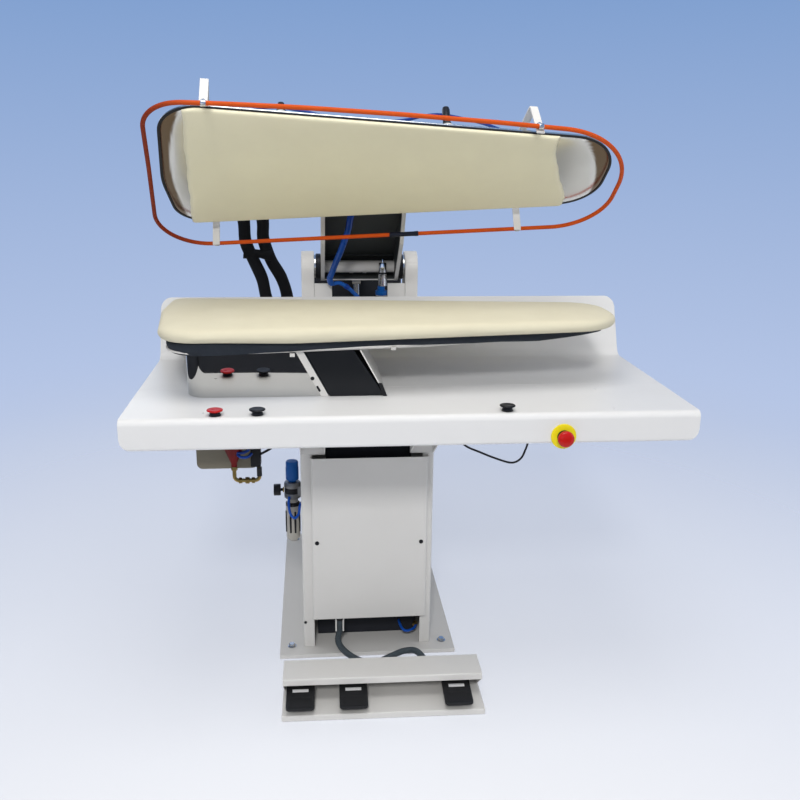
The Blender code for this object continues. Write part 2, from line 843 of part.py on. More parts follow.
def column_side(name, side):
    """A C-shaped wall: the web outside, a flange turned in at the front and one at the rear."""
    outer, inner = side * HALF_COLUMN, side * (HALF_COLUMN - COLUMN_FLANGE)
    path = (
        (inner, COLUMN_FRONT),
        (outer, COLUMN_FRONT),
        (outer, COLUMN_REAR),
        (inner, COLUMN_REAR),
    )
    thickness = COLUMN_WALL if side > 0 else -COLUMN_WALL
    outline = sheet_outline(path, (COLUMN_BEND, COLUMN_BEND), thickness)
    return prism(name, "white_paint", "z", outline, COLUMN_LOW, COLUMN_HIGH)


def column():
    left = column_side("column_left_side", -1)
    column_side("column_right_side", 1)
    (y_low, z_low), (y_high, z_high) = HOSE_PORT_LOW, HOSE_PORT_HIGH
    port = filleted(
        ((y_low, z_low), (y_high, z_low), (y_high, z_high), (y_low, z_high)),
        (HOSE_PORT_CORNER,) * 4,
    )
    inner = COLUMN_WALL - HALF_COLUMN + OVERRUN
    cut(left, prism("hose_port", "white_paint", "x", port, -HALF_COLUMN - OVERRUN, inner))
    lid("front_cover", COVER_SHIFT, COVER_WIDTH, COLUMN_FRONT - GAP, -1, COVER_LOW, COVER_HIGH)
    lid("rear_panel", 0, REAR_PANEL_WIDTH, COLUMN_REAR + GAP, 1, REAR_PANEL_LOW, REAR_PANEL_HIGH)


def lid(name, centre, width, seat, facing, low, high):
    """A shallow U-shaped lid whose returned edges stand on the column's flanges."""
    face = seat + facing * COVER_RETURN
    left, right = centre - width / 2, centre + width / 2
    path = ((left, seat), (left, face), (right, face), (right, seat))
    thickness = facing * -COVER_SHEET
    outline = sheet_outline(path, (COVER_BEND, COVER_BEND), -thickness if facing < 0 else thickness)
    return prism(name, "white_paint", "z", outline, low, high)


def column_top_plate():
    """The plate that the posts, the table and the cylinder are fixed to, with the notched plate between the posts."""
    plate = prism(
        "column_top_plate",
        "white_paint",
        "z",
        (
            (-HALF_COLUMN, COLUMN_FRONT),
            (HALF_COLUMN, COLUMN_FRONT),
            (HALF_COLUMN, COLUMN_REAR),
            (-HALF_COLUMN, COLUMN_REAR),
        ),
        TOP_PLATE_LOW,
        TOP_PLATE_HIGH,
    )
    half_plate, half_notch = POST_INNER - GAP, TOWER_NOTCH_WIDTH / 2
    notch_profile = (
        (-half_plate, TOP_PLATE_LOW + TOP_PLATE_THICK / 2),
        (half_plate, TOP_PLATE_LOW + TOP_PLATE_THICK / 2),
        (half_plate, TOWER_PLATE_TOP),
        (half_notch, TOWER_PLATE_TOP),
        (half_notch, TOWER_NOTCH_FLOOR),
        (-half_notch, TOWER_NOTCH_FLOOR),
        (-half_notch, TOWER_PLATE_TOP),
        (-half_plate, TOWER_PLATE_TOP),
    )
    notched = [(TOWER_SHIFT + x, z) for x, z in notch_profile]
    upright = prism(
        "tower_front_plate", "white_paint", "y", notched, TOWER_PLATE_Y, TOWER_PLATE_Y + TOWER_PLATE_THICK
    )
    rod_hole = rod_between(
        "rod_hole",
        "white_paint",
        (0, ROD_Y, TOP_PLATE_LOW - OVERRUN),
        (0, ROD_Y, TOP_PLATE_HIGH + OVERRUN),
        ROD_RADIUS + ROD_HOLE_CLEARANCE,
    )
    window = block(
        "hose_window",
        "white_paint",
        (
            HOSE_WINDOW_X - HOSE_WINDOW_WIDTH / 2,
            HOSE_WINDOW_Y - HOSE_WINDOW_DEPTH / 2,
            TOP_PLATE_LOW - OVERRUN,
        ),
        (
            HOSE_WINDOW_X + HOSE_WINDOW_WIDTH / 2,
            HOSE_WINDOW_Y + HOSE_WINDOW_DEPTH / 2,
            TOP_PLATE_HIGH + OVERRUN,
        ),
    )
    guard = block(
        "rear_guard",
        "white_paint",
        (TOWER_SHIFT - half_plate, REAR_GUARD_Y, TOP_PLATE_LOW + TOP_PLATE_THICK / 2),
        (TOWER_SHIFT + half_plate, REAR_GUARD_Y + TABLE_SHEET, REAR_GUARD_TOP),
    )
    fuse(plate, upright, guard)
    cut(plate, rod_hole, window)


def bearing_posts():
    """A thick post on each side, rounded over the pivot, and the shaft that both hold."""
    low = TOP_PLATE_HIGH + GAP
    for name, side in (("left_bearing_post", -1), ("right_bearing_post", 1)):
        top = [
            (PIVOT_Y + POST_RADIUS * math.cos(angle), PIVOT_Z + POST_RADIUS * math.sin(angle))
            for angle in (math.pi * step / FULL_ROUND for step in range(FULL_ROUND + 1))
        ]
        outline = [(PIVOT_Y + POST_RADIUS, low), *top, (PIVOT_Y - POST_RADIUS, low)]
        ends = sorted((TOWER_SHIFT + side * POST_INNER, TOWER_SHIFT + side * POST_OUTER))
        post = prism(name, "white_paint", "x", outline, *ends)
        bore = rod_between(
            f"{name}_bore",
            "white_paint",
            (ends[0] - OVERRUN, PIVOT_Y, PIVOT_Z),
            (ends[1] + OVERRUN, PIVOT_Y, PIVOT_Z),
            SHAFT_RADIUS + GAP,
            FINE_ROUND,
        )
        cut(post, bore)
        soften(post)
    reach = POST_OUTER - SHAFT_END_INSET
    rod_between(
        "pivot_shaft",
        "bright_steel",
        (TOWER_SHIFT - reach, PIVOT_Y, PIVOT_Z),
        (TOWER_SHIFT + reach, PIVOT_Y, PIVOT_Z),
        SHAFT_RADIUS,
        FINE_ROUND,
    )


def cylinder():
    """The barrel under the column's top plate, and the rod whose cross pin drives the arm's slotted levers."""
    high = TOP_PLATE_LOW - GAP
    low = high - BARREL_LENGTH
    barrel_profile = (
        (0, low),
        (BARREL_RADIUS, low),
        (BARREL_RADIUS, high),
        (ROD_RADIUS + RUNNING_GAP, high),
        (ROD_RADIUS + RUNNING_GAP, high - BARREL_CAP),
        (BARREL_BORE, high - BARREL_CAP),
        (BARREL_BORE, low + BARREL_CAP),
        (0, low + BARREL_CAP),
    )
    turned("cylinder_barrel", "bright_steel", barrel_profile, (0, ROD_Y, 0), (0, 0, 1), BARREL_SEGMENTS)
    piston_low = low + BARREL_CAP + PISTON_CLEARANCE
    piston_high = piston_low + PISTON_THICK
    rod_profile = (
        (0, piston_low),
        (BARREL_BORE - PISTON_CLEARANCE, piston_low),
        (BARREL_BORE - PISTON_CLEARANCE, piston_high),
        (ROD_RADIUS, piston_high),
        (ROD_RADIUS, PIN_Z),
        (0, PIN_Z),
    )
    rod = turned("piston_rod", "bright_steel", rod_profile, (0, ROD_Y, 0), (0, 0, 1), BARREL_SEGMENTS)
    eye = prism(
        "rod_eye",
        "bright_steel",
        "x",
        capsule_outline((ROD_Y, PIN_Z - EYE_RADIUS), (ROD_Y, PIN_Z), EYE_RADIUS, EYE_RADIUS),
        -EYE_WIDTH / 2,
        EYE_WIDTH / 2,
    )
    pin_reach = EYE_WIDTH / 2 + RUNNING_GAP + LEVER_PLATE + OVERRUN
    pin = rod_between(
        "cross_pin", "bright_steel", (-pin_reach, ROD_Y, PIN_Z), (pin_reach, ROD_Y, PIN_Z), PIN_RADIUS
    )
    fuse(rod, eye, pin)


def table():
    """Two sheets: the front one rolled down into the apron, the rear one bent up into the splash back."""
    apron_foot = TABLE_TOP - APRON_DROP
    front_path = (
        (TABLE_SEAM - TABLE_SEAM_GAP / 2, TABLE_TOP),
        (TABLE_FRONT, TABLE_TOP),
        (TABLE_FRONT, apron_foot),
        (TABLE_FRONT + APRON_LIP, apron_foot),
    )
    outline = sheet_outline(front_path, (APRON_ROLL, APRON_LIP_ROLL), TABLE_SHEET, CORNER_STEPS)
    front = prism("front_table", "table_paint", "x", outline, TABLE_LEFT, TABLE_RIGHT)
    for index, (x, y) in enumerate(TABLE_HOLES):
        cut(front, vertical_hole(f"table_hole_{index}", x, y, TABLE_HOLE_RADIUS))
    for name, x, y in BUTTON_SPOTS:
        cut(front, vertical_hole(f"{name}_hole", x, y, BUTTON_STEM_RADIUS + OVERRUN))
    stop_hole = rod_between(
        "stop_hole",
        "table_paint",
        (STOP_X, TABLE_FRONT - OVERRUN, STOP_Z),
        (STOP_X, TABLE_FRONT + TABLE_SHEET + OVERRUN, STOP_Z),
        STOP_NECK_RADIUS + 2 * GAP,
        FINE_ROUND,
    )
    cut(front, stop_hole)
    for name, x, side in (("left_apron_corner", TABLE_LEFT, 1), ("right_apron_corner", TABLE_RIGHT, -1)):
        corner = corner_cutter(name, (x, apron_foot), (side, 1), APRON_CORNER)
        cut(front, in_depth(corner, TABLE_FRONT - OVERRUN, TABLE_FRONT + APRON_LIP + OVERRUN))
    upstand_top = (UPSTAND_FOOT + UPSTAND_LEAN, TABLE_TOP + UPSTAND_HEIGHT)
    rear_path = (upstand_top, (UPSTAND_FOOT, TABLE_TOP), (TABLE_SEAM + TABLE_SEAM_GAP / 2, TABLE_TOP))
    outline = sheet_outline(rear_path, (UPSTAND_BEND,), TABLE_SHEET, CORNER_STEPS)
    rear = prism("rear_table", "table_paint", "x", outline, TABLE_LEFT, TABLE_RIGHT)
    for name, x, side in (("left_upstand_corner", TABLE_LEFT, 1), ("right_upstand_corner", TABLE_RIGHT, -1)):
        corner = corner_cutter(name, (x, upstand_top[1]), (side, -1), UPSTAND_CORNER)
        cut(rear, in_depth(corner, UPSTAND_FOOT - OVERRUN, upstand_top[0] + OVERRUN))


def vertical_hole(name, x, y, radius):
    return rod_between(
        name,
        "table_paint",
        (x, y, TABLE_UNDERSIDE - OVERRUN),
        (x, y, TABLE_TOP + OVERRUN),
        radius,
        HALF_ROUND,
    )


def corner_cutter(name, corner, inward, radius):
    """The outline left over between a square corner and its rounding, run out past both edges."""
    x, z = corner
    side, rise = inward
    centre = (x + side * radius, z + rise * radius)
    arc = [
        (centre[0] - side * radius * math.sin(angle), centre[1] - rise * radius * math.cos(angle))
        for angle in (math.pi / 2 * step / BEND_STEPS for step in range(BEND_STEPS + 1))
    ]
    outside_x, outside_z = x - side * OVERRUN, z - rise * OVERRUN
    outline = [*arc, (outside_x, centre[1]), (outside_x, outside_z), (centre[0], outside_z)]
    return name, outline


def in_depth(named_outline, low, high):
    name, outline = named_outline
    return prism(name, "table_paint", "y", outline, low, high)


def table_arms():
    """A channel bracket on each side of the column's front, carrying the table ahead of it."""
    seat = COLUMN_FRONT - GAP
    high = TABLE_UNDERSIDE - GAP
    tip = seat - TABLE_ARM_REACH
    side_view = (
        (seat, TABLE_ARM_LOW),
        (seat, high),
        (tip, high),
        (tip, high - TABLE_ARM_TIP),
    )
    for name, side in (("left_table_arm", -1), ("right_table_arm", 1)):
        ends = sorted((side * HALF_COLUMN, side * (HALF_COLUMN - TABLE_ARM_WIDTH)))
        arm = prism(name, "white_paint", "x", side_view, *ends)
        hollow = (
            (seat - TABLE_ARM_THICK, TABLE_ARM_LOW - OVERRUN),
            (seat - TABLE_ARM_THICK, high - TABLE_ARM_THICK),
            (tip - OVERRUN, high - TABLE_ARM_THICK),
            (tip - OVERRUN, TABLE_ARM_LOW - OVERRUN),
        )
        pocket = prism(
            f"{name}_hollow",
            "white_paint",
            "x",
            hollow,
            ends[0] + TABLE_ARM_THICK,
            ends[1] - TABLE_ARM_THICK,
        )
        cut(arm, pocket)


def buck():
    """Pan, felt skirt and padded cover, one on the other."""
    pan_levels = (
        (BUCK_PAN_INSET + BUCK_PAN_HEIGHT, BUCK_PAN_LOW),
        (BUCK_PAN_INSET, BUCK_PAN_LOW + BUCK_PAN_HEIGHT / 2),
        (BUCK_PAN_INSET, BUCK_PAN_HIGH),
    )
    loft("buck_pan", "white_paint", pan_rings(pan_levels))
    skirt_levels = (
        (BUCK_SKIRT_INSET, 0.0),
        (BUCK_SKIRT_INSET / 2, 0.5),
        (BUCK_SKIRT_INSET, 1.0),
    )
    skirt = [
        [(x, y, BUCK_SKIRT_LOW + share * (pad_low(x) - GAP - BUCK_SKIRT_LOW)) for x, y, share in ring]
        for ring in pan_rings(skirt_levels)
    ]
    loft("buck_skirt", "grey_felt", skirt)
    # The sides draw in under the bulge, and the top is crowned: each share is of the pad's thickness.
    pad_shares = (
        (0.28, 0.0),
        (0.06, 0.16),
        (0.0, 0.40),
        (0.06, 0.68),
        (0.22, 0.84),
        (0.55, 0.92),
        (1.10, 0.97),
        (2.00, 1.0),
    )
    pad_levels = [(inset * BUCK_PAD_THICK, share) for inset, share in pad_shares]
    pad = [
        [(x, y, pad_low(x) + share * (BUCK_TOP - pad_low(x))) for x, y, share in ring]
        for ring in press_rings(pad_levels, BUCK_END_GROWTH)
    ]
    loft("buck_pad", "cream_cloth", pad)


def pad_low(x):
    """Height of the pad's lower edge, which climbs a little towards the narrow end."""
    return BUCK_PAD_LOW + BUCK_PAD_SLOPE * x


def under_buck():
    """The polished box and the leaning suction duct that carry the buck on the table."""
    duct_rear = DUCT_FRONT + DUCT_DEPTH
    duct_foot = (DUCT_LEFT, DUCT_LEFT + DUCT_WIDTH)
    duct_head = (DUCT_LEFT - DUCT_LEAN, DUCT_LEFT - DUCT_LEAN + DUCT_TOP_WIDTH)
    duct_view = (
        (duct_foot[0], UNDER_BUCK_LOW),
        (duct_foot[1], UNDER_BUCK_LOW),
        (duct_head[1], UNDER_BUCK_HIGH),
        (duct_head[0], UNDER_BUCK_HIGH),
    )
    duct = prism("suction_duct", "black_plastic", "y", duct_view, DUCT_FRONT, duct_rear)
    soften(duct)
    plan = filleted(
        (
            (PEDESTAL_LEFT, PEDESTAL_FRONT),
            (duct_foot[1], PEDESTAL_FRONT),
            (duct_foot[1], PEDESTAL_FRONT + PEDESTAL_DEPTH),
            (PEDESTAL_LEFT, PEDESTAL_FRONT + PEDESTAL_DEPTH),
        ),
        (PEDESTAL_CORNER, 0, 0, PEDESTAL_CORNER),
        CORNER_STEPS,
    )
    pedestal = prism("polished_pedestal", "polished_steel", "z", plan, UNDER_BUCK_LOW, UNDER_BUCK_HIGH)
    lean = (duct_head[0] - duct_foot[0]) / (UNDER_BUCK_HIGH - UNDER_BUCK_LOW)
    low_cut, high_cut = UNDER_BUCK_LOW - OVERRUN, UNDER_BUCK_HIGH + OVERRUN
    right_cut = duct_foot[1] + OVERRUN
    slanted_cut = (
        (duct_foot[0] - DUCT_PLATE_GAP - lean * OVERRUN, low_cut),
        (right_cut, low_cut),
        (right_cut, high_cut),
        (duct_head[0] - DUCT_PLATE_GAP + lean * OVERRUN, high_cut),
    )
    slant = prism(
        "pedestal_slant",
        "polished_steel",
        "y",
        slanted_cut,
        PEDESTAL_FRONT - OVERRUN,
        PEDESTAL_FRONT + PEDESTAL_DEPTH + OVERRUN,
    )
    cut(pedestal, slant)


def push_buttons():
    """A flared collar and a mushroom cap for each of the three table buttons."""
    seat = TABLE_TOP + GAP
    for name, x, y in BUTTON_SPOTS:
        high = seat + BUTTON_COLLAR_HEIGHT
        bore = BUTTON_STEM_RADIUS + GAP
        collar = (
            (bore, seat),
            (BUTTON_COLLAR_FLARE, seat),
            (BUTTON_COLLAR_RADIUS, high),
            (bore, high),
        )
        turned(f"{name}_collar", "black_plastic", collar, (x, y, 0), (0, 0, 1))
        under = high + BUTTON_TRAVEL + GAP
        top = under + BUTTON_CAP_THICK
        cap = (
            (0, high - BUTTON_STEM_DEPTH),
            (BUTTON_STEM_RADIUS, high - BUTTON_STEM_DEPTH),
            (BUTTON_STEM_RADIUS, under),
            (BUTTON_CAP_RADIUS - EDGE_BREAK, under),
            (BUTTON_CAP_RADIUS, under + EDGE_BREAK),
            (BUTTON_CAP_RADIUS - EDGE_BREAK, top - EDGE_BREAK),
            (BUTTON_STEM_RADIUS, top),
            (0, top),
        )
        slot = "red_plastic" if name.startswith("red") else "black_plastic"
        turned(name, slot, cap, (x, y, 0), (0, 0, 1))


def emergency_stop():
    """The yellow disc and switch body through the apron, and the red mushroom in front."""
    seat = -GAP
    bore = STOP_STEM_RADIUS + GAP
    front = seat - STOP_DISC_THICK
    nose = front - STOP_COLLAR_LENGTH
    apron_back = TABLE_SHEET + GAP
    disc_profile = (
        (bore, nose),
        (STOP_COLLAR_RADIUS, nose),
        (STOP_COLLAR_RADIUS, front),
        (STOP_DISC_RADIUS, front),
        (STOP_DISC_RADIUS, seat),
        (STOP_NECK_RADIUS, seat),
        (STOP_NECK_RADIUS, apron_back),
        (STOP_BACK_RADIUS, apron_back),
        (STOP_BACK_RADIUS, apron_back + STOP_BACK_LENGTH),
        (bore, apron_back + STOP_BACK_LENGTH),
    )
    centre = (STOP_X, TABLE_FRONT, STOP_Z)
    turned("stop_base", "yellow_plastic", disc_profile, centre, (0, 1, 0), FINE_ROUND)
    back = nose - STOP_TRAVEL - GAP
    face = back - STOP_HEAD_LENGTH
    head_profile = (
        (0, face),
        (STOP_HEAD_RADIUS / 2, face),
        (STOP_HEAD_RADIUS * math.sqrt(3) / 2, face + STOP_HEAD_LENGTH / 8),
        (STOP_HEAD_RADIUS, face + STOP_HEAD_LENGTH / 3),
        (STOP_HEAD_RADIUS, back),
        (STOP_STEM_RADIUS, back),
        (STOP_STEM_RADIUS, nose + STOP_STEM_DEPTH),
        (0, nose + STOP_STEM_DEPTH),
    )
    turned("stop_button", "red_plastic", head_profile, centre, (0, 1, 0), FINE_ROUND)


def under_table_fittings():
    """The plate hung under the table's left end, with the filling funnel, its brass elbow and the valve."""
    high = TABLE_UNDERSIDE - GAP
    outline = filleted(
        ((PLATE_LEFT, PLATE_LOW), (PLATE_RIGHT, PLATE_LOW), (PLATE_RIGHT, high), (PLATE_LEFT, high)),
        (PLATE_CORNER, PLATE_CORNER, 0, 0),
    )
    prism("hanging_plate", "olive_steel", "y", outline, PLATE_Y, PLATE_Y + PLATE_THICK)
    funnel_profile = (
        (FUNNEL_THROAT_RADIUS - FUNNEL_WALL, FUNNEL_LOW),
        (FUNNEL_THROAT_RADIUS, FUNNEL_LOW),
        (FUNNEL_THROAT_RADIUS, FUNNEL_THROAT_Z),
        (FUNNEL_MOUTH_RADIUS, FUNNEL_MOUTH_Z),
        (FUNNEL_MOUTH_RADIUS - FUNNEL_WALL, FUNNEL_MOUTH_Z),
        (FUNNEL_THROAT_RADIUS - FUNNEL_WALL, FUNNEL_THROAT_Z),
    )
    turned("fill_funnel", "red_plastic", funnel_profile, (FUNNEL_X, FUNNEL_Y, 0), (0, 0, 1))
    start = (FUNNEL_X, FUNNEL_Y, FUNNEL_LOW - GAP)
    elbow_z = FUNNEL_LOW - DRAIN_DROP
    valve_x = FUNNEL_X + DRAIN_RUN
    bend = 2 * DRAIN_RADIUS
    path = open_fillets(
        (
            (start[0], start[2]),
            (start[0], elbow_z),
            (valve_x, elbow_z),
            (valve_x, VALVE_LOW - VALVE_GAP),
        ),
        (bend, bend),
        BEND_STEPS,
    )
    tube("drain_elbow", "brass", [(x, FUNNEL_Y, z) for x, z in path], DRAIN_RADIUS)
    half = VALVE_WIDTH / 2
    valve = block(
        "drain_valve",
        "black_plastic",
        (valve_x - half - VALVE_ASIDE, PLATE_Y - GAP - VALVE_DEPTH - half, VALVE_LOW),
        (valve_x + half - VALVE_ASIDE, PLATE_Y - GAP, VALVE_HIGH),
    )
    soften(valve)


def regulator():
    """Filter regulator on the column: body with its bracket block, bowl, blue knob and black side knob."""
    x = -HALF_COLUMN - REGULATOR_STAND_OFF - REGULATOR_RADIUS
    half_height = REGULATOR_BODY_HEIGHT / 2
    low, high = REGULATOR_Z - half_height, REGULATOR_Z + half_height
    body_profile = (
        (0, low),
        (REGULATOR_RADIUS, low),
        (REGULATOR_RADIUS, high),
        (0, high),
    )
    body = turned("regulator_body", "zinc_grey", body_profile, (x, REGULATOR_Y, 0), (0, 0, 1))
    wall_block = block(
        "regulator_bracket",
        "zinc_grey",
        (x, REGULATOR_Y - BRACKET_BLOCK_WIDTH / 2, REGULATOR_Z - BRACKET_BLOCK_HEIGHT / 2),
        (-HALF_COLUMN - GAP, REGULATOR_Y + BRACKET_BLOCK_WIDTH / 2, REGULATOR_Z + BRACKET_BLOCK_HEIGHT / 2),
    )
    fuse(body, wall_block)
    stem_start = x - REGULATOR_RADIUS - GAP
    knob_low = high + GAP
    collar_high = knob_low + REGULATOR_NECK_HEIGHT
    knob_profile = (
        (0, knob_low),
        (REGULATOR_NECK_RADIUS, knob_low),
        (REGULATOR_NECK_RADIUS, collar_high),
        (REGULATOR_KNOB_RADIUS, collar_high),
        (REGULATOR_KNOB_RADIUS, collar_high + REGULATOR_KNOB_HEIGHT - 3 * EDGE_BREAK),
        (REGULATOR_KNOB_RADIUS - 3 * EDGE_BREAK, collar_high + REGULATOR_KNOB_HEIGHT),
        (0, collar_high + REGULATOR_KNOB_HEIGHT),
    )
    turned("regulator_knob", "blue_plastic", knob_profile, (x, REGULATOR_Y, 0), (0, 0, 1))
    bowl_high = low - GAP
    bowl_low = bowl_high - BOWL_HEIGHT
    bowl_profile = (
        (0, bowl_low),
        (BOWL_END_RADIUS, bowl_low),
        (BOWL_RADIUS, bowl_low + BOWL_NECK_HEIGHT),
        (BOWL_RADIUS, bowl_high - 2 * BOWL_NECK_HEIGHT),
        (BOWL_NECK_RADIUS, bowl_high - BOWL_NECK_HEIGHT),
        (BOWL_NECK_RADIUS, bowl_high),
        (0, bowl_high),
    )
    turned("filter_bowl", "zinc_grey", bowl_profile, (x, REGULATOR_Y, 0), (0, 0, 1))
    knob_profile = (
        (0, 0),
        (SIDE_STEM_RADIUS, 0),
        (SIDE_STEM_RADIUS, SIDE_STEM_LENGTH),
        (SIDE_KNOB_RADIUS, SIDE_STEM_LENGTH),
        (SIDE_KNOB_RADIUS, SIDE_STEM_LENGTH + SIDE_KNOB_LENGTH),
        (0, SIDE_STEM_LENGTH + SIDE_KNOB_LENGTH),
    )
    knob_place = (stem_start, REGULATOR_Y, REGULATOR_Z)
    turned("side_knob", "black_plastic", knob_profile, knob_place, (-1, 0, 0))


def pedal_unit():
    """The tray, its hood with closed ends, the long hinge shaft and three pedals."""
    unit = empty("pedal_unit", (UNIT_X, UNIT_Y, 0), (0, 0, UNIT_TURN))
    half_tray, half_depth = TRAY_WIDTH / 2, TRAY_DEPTH / 2
    tray = block("pedal_tray", "white_paint", (-half_tray, -half_depth, 0), (half_tray, half_depth, TRAY_HEIGHT))
    soften(tray, TRAY_BEND, 2)
    hood_low = TRAY_HEIGHT + GAP
    rear, front = half_depth, half_depth - HOOD_DEPTH
    path = (
        (rear, hood_low),
        (rear, HOOD_TOP),
        (front, HOOD_TOP),
        (front, HOOD_TOP - HOOD_LIP),
    )
    outline = sheet_outline(path, (HOOD_BEND, HOOD_BEND), HOOD_SHEET)
    half_hood = HOOD_WIDTH / 2
    hood = prism("pedal_hood", "white_paint", "x", outline, -half_hood, half_hood)
    axis_y, axis_z = rear - PEDAL_AXIS_INSET, PEDAL_AXIS_HEIGHT
    cheek_outline = (
        (rear - HOOD_SHEET / 2, hood_low),
        (rear - HOOD_SHEET / 2, HOOD_TOP - HOOD_SHEET / 2),
        (front + HOOD_SHEET / 2, HOOD_TOP - HOOD_SHEET / 2),
        (front + HOOD_SHEET / 2, HOOD_TOP - HOOD_LIP),
        (axis_y - PEDAL_BARREL_RADIUS, hood_low),
    )
    for name, ends in (
        ("left_hood_cheek", (-half_hood, -half_hood + HOOD_SHEET)),
        ("right_hood_cheek", (half_hood - HOOD_SHEET, half_hood)),
    ):
        cheek = prism(name, "white_paint", "x", cheek_outline, *ends)
        cheek.parent = unit
        fuse(hood, cheek)
    shaft_reach = half_hood - HOOD_SHEET - GAP
    shaft = rod_between(
        "pedal_shaft",
        "bright_steel",
        (-shaft_reach, axis_y, axis_z),
        (shaft_reach, axis_y, axis_z),
        PEDAL_SHAFT_RADIUS,
    )
    for obj in (tray, hood, shaft):
        obj.parent = unit
    for name, x in (
        ("left_pedal", LEFT_PEDAL_X),
        ("middle_pedal", MIDDLE_PEDAL_X),
        ("right_pedal", RIGHT_PEDAL_X),
    ):
        pivot = empty(f"{name}_pivot", (x - UNIT_X, axis_y, axis_z), (PEDAL_TILT, 0, 0), unit)
        pedal(name, pivot)


def pedal(name, pivot):
    """A treadle plate with a raised tread and the hinge barrel at its rear, drawn about its own hinge."""
    half = PEDAL_WIDTH / 2
    plan = filleted(
        ((-half, -PEDAL_LENGTH), (half, -PEDAL_LENGTH), (half, 0), (-half, 0)),
        (PEDAL_CORNER, PEDAL_CORNER, 0, 0),
    )
    plate = prism(name, "black_rubber", "z", plan, -PEDAL_THICK / 2, PEDAL_THICK / 2)
    inner = half - PEDAL_TREAD_MARGIN
    tread_front, tread_rear = -PEDAL_LENGTH + PEDAL_TREAD_MARGIN, -PEDAL_LENGTH / 2
    tread_plan = filleted(
        ((-inner, tread_front), (inner, tread_front), (inner, tread_rear), (-inner, tread_rear)),
        (PEDAL_TREAD_MARGIN / 2,) * 4,
    )
    tread = prism(f"{name}_tread", "black_rubber", "z", tread_plan, 0, PEDAL_THICK / 2 + PEDAL_TREAD_RAISE)
    barrel = rod_between(f"{name}_barrel", "black_rubber", (-half, 0, 0), (half, 0, 0), PEDAL_BARREL_RADIUS)
    bore = rod_between(
        f"{name}_bore",
        "black_rubber",
        (-half - OVERRUN, 0, 0),
        (half + OVERRUN, 0, 0),
        PEDAL_SHAFT_RADIUS + RUNNING_GAP,
    )
    fuse(plate, tread, barrel)
    cut(plate, bore)
    for obj in (plate, tread, barrel, bore):
        obj.parent = pivot


def cords_and_hoses():
    """The grey conduit to the pedals, the thin switch cable and the hose that runs down the arm."""
    gland_top = GLAND_Z + GLAND_LENGTH
    gland_profile = (
        (0, GLAND_Z),
        (CONDUIT_RADIUS + COLUMN_WALL, GLAND_Z),
        (GLAND_RADIUS, gland_top - GLAND_LENGTH / 3),
        (GLAND_RADIUS, gland_top),
        (0, gland_top),
    )
    turned("conduit_gland", "black_plastic", gland_profile, (GLAND_X, GLAND_Y, 0), (0, 0, 1))
    start = (GLAND_X, GLAND_Y, GLAND_Z - CONDUIT_START_GAP)
    straight = (GLAND_X, GLAND_Y, GLAND_Z - 2 * CONDUIT_RADIUS)
    entry_x = CONDUIT_ROUTE[-1][0] - UNIT_X
    unit_turn = Matrix.Rotation(UNIT_TURN, 3, "Z")
    entry = unit_turn @ Vector((entry_x, TRAY_DEPTH / 2 + HOSE_SEAT_GAP, CONDUIT_ROUTE[-1][2]))
    entry += Vector((UNIT_X, UNIT_Y, 0))
    route = (start, straight, *CONDUIT_ROUTE[:-1], entry + Vector((0, 3 * CONDUIT_RADIUS, 0)), entry)
    tube("pedal_conduit", "grey_conduit", smooth_route(route, CONDUIT_SPACING), CONDUIT_RADIUS)
    stop_back = TABLE_FRONT + TABLE_SHEET + 2 * GAP + STOP_BACK_LENGTH
    cable_start = (STOP_X, stop_back, STOP_Z)
    cable = (cable_start, *CABLE_ROUTE, (HALF_COLUMN + CABLE_RADIUS, *CABLE_END))
    tube("switch_cable", "black_rubber", smooth_route(cable, CABLE_SPACING), CABLE_RADIUS)
    web_low = ARM_SEAT + ARM_NOSE_HEIGHT - EDGE_BREAK - ARM_WEB - HOSE_SEAT_GAP
    knots = (
        opened((*ARM_HOSE_ROOT, web_low)),
        opened((*ARM_HOSE_ROOT, web_low - ARM_HOSE_SPACING)),
        opened((*ARM_HOSE_ROOT, web_low - ARM_HOSE_DROP)),
        *ARM_HOSE_ROUTE,
    )
    tube("arm_air_hose", "blue_tube", smooth_route(knots, ARM_HOSE_SPACING), ARM_HOSE_RADIUS)


def opened(point):
    """Where a point of the closed head lies once the head has swung open."""
    return Matrix.Rotation(-HEAD_SWING, 3, "X") @ (Vector(point) - PIVOT) + PIVOT


def steam_hoses():
    """Two thick hoses that rise from the back of the head, fall behind the table and enter the column."""
    up = Matrix.Rotation(-HEAD_SWING, 3, "X") @ Vector((0, 0, 1))
    for name, (x, y), route in (
        ("left_steam_hose", LEFT_HOSE_ROOT, LEFT_HOSE_ROUTE),
        ("right_steam_hose", RIGHT_HOSE_ROOT, RIGHT_HOSE_ROUTE),
    ):
        start = opened((x, y, HEAD_PLATE_HIGH + HOSE_SEAT_GAP))
        knots = (start, start + up * HOSE_SPACING, *map(Vector, route))
        tube(name, "black_rubber", smooth_route(knots, HOSE_SPACING), HOSE_RADIUS)


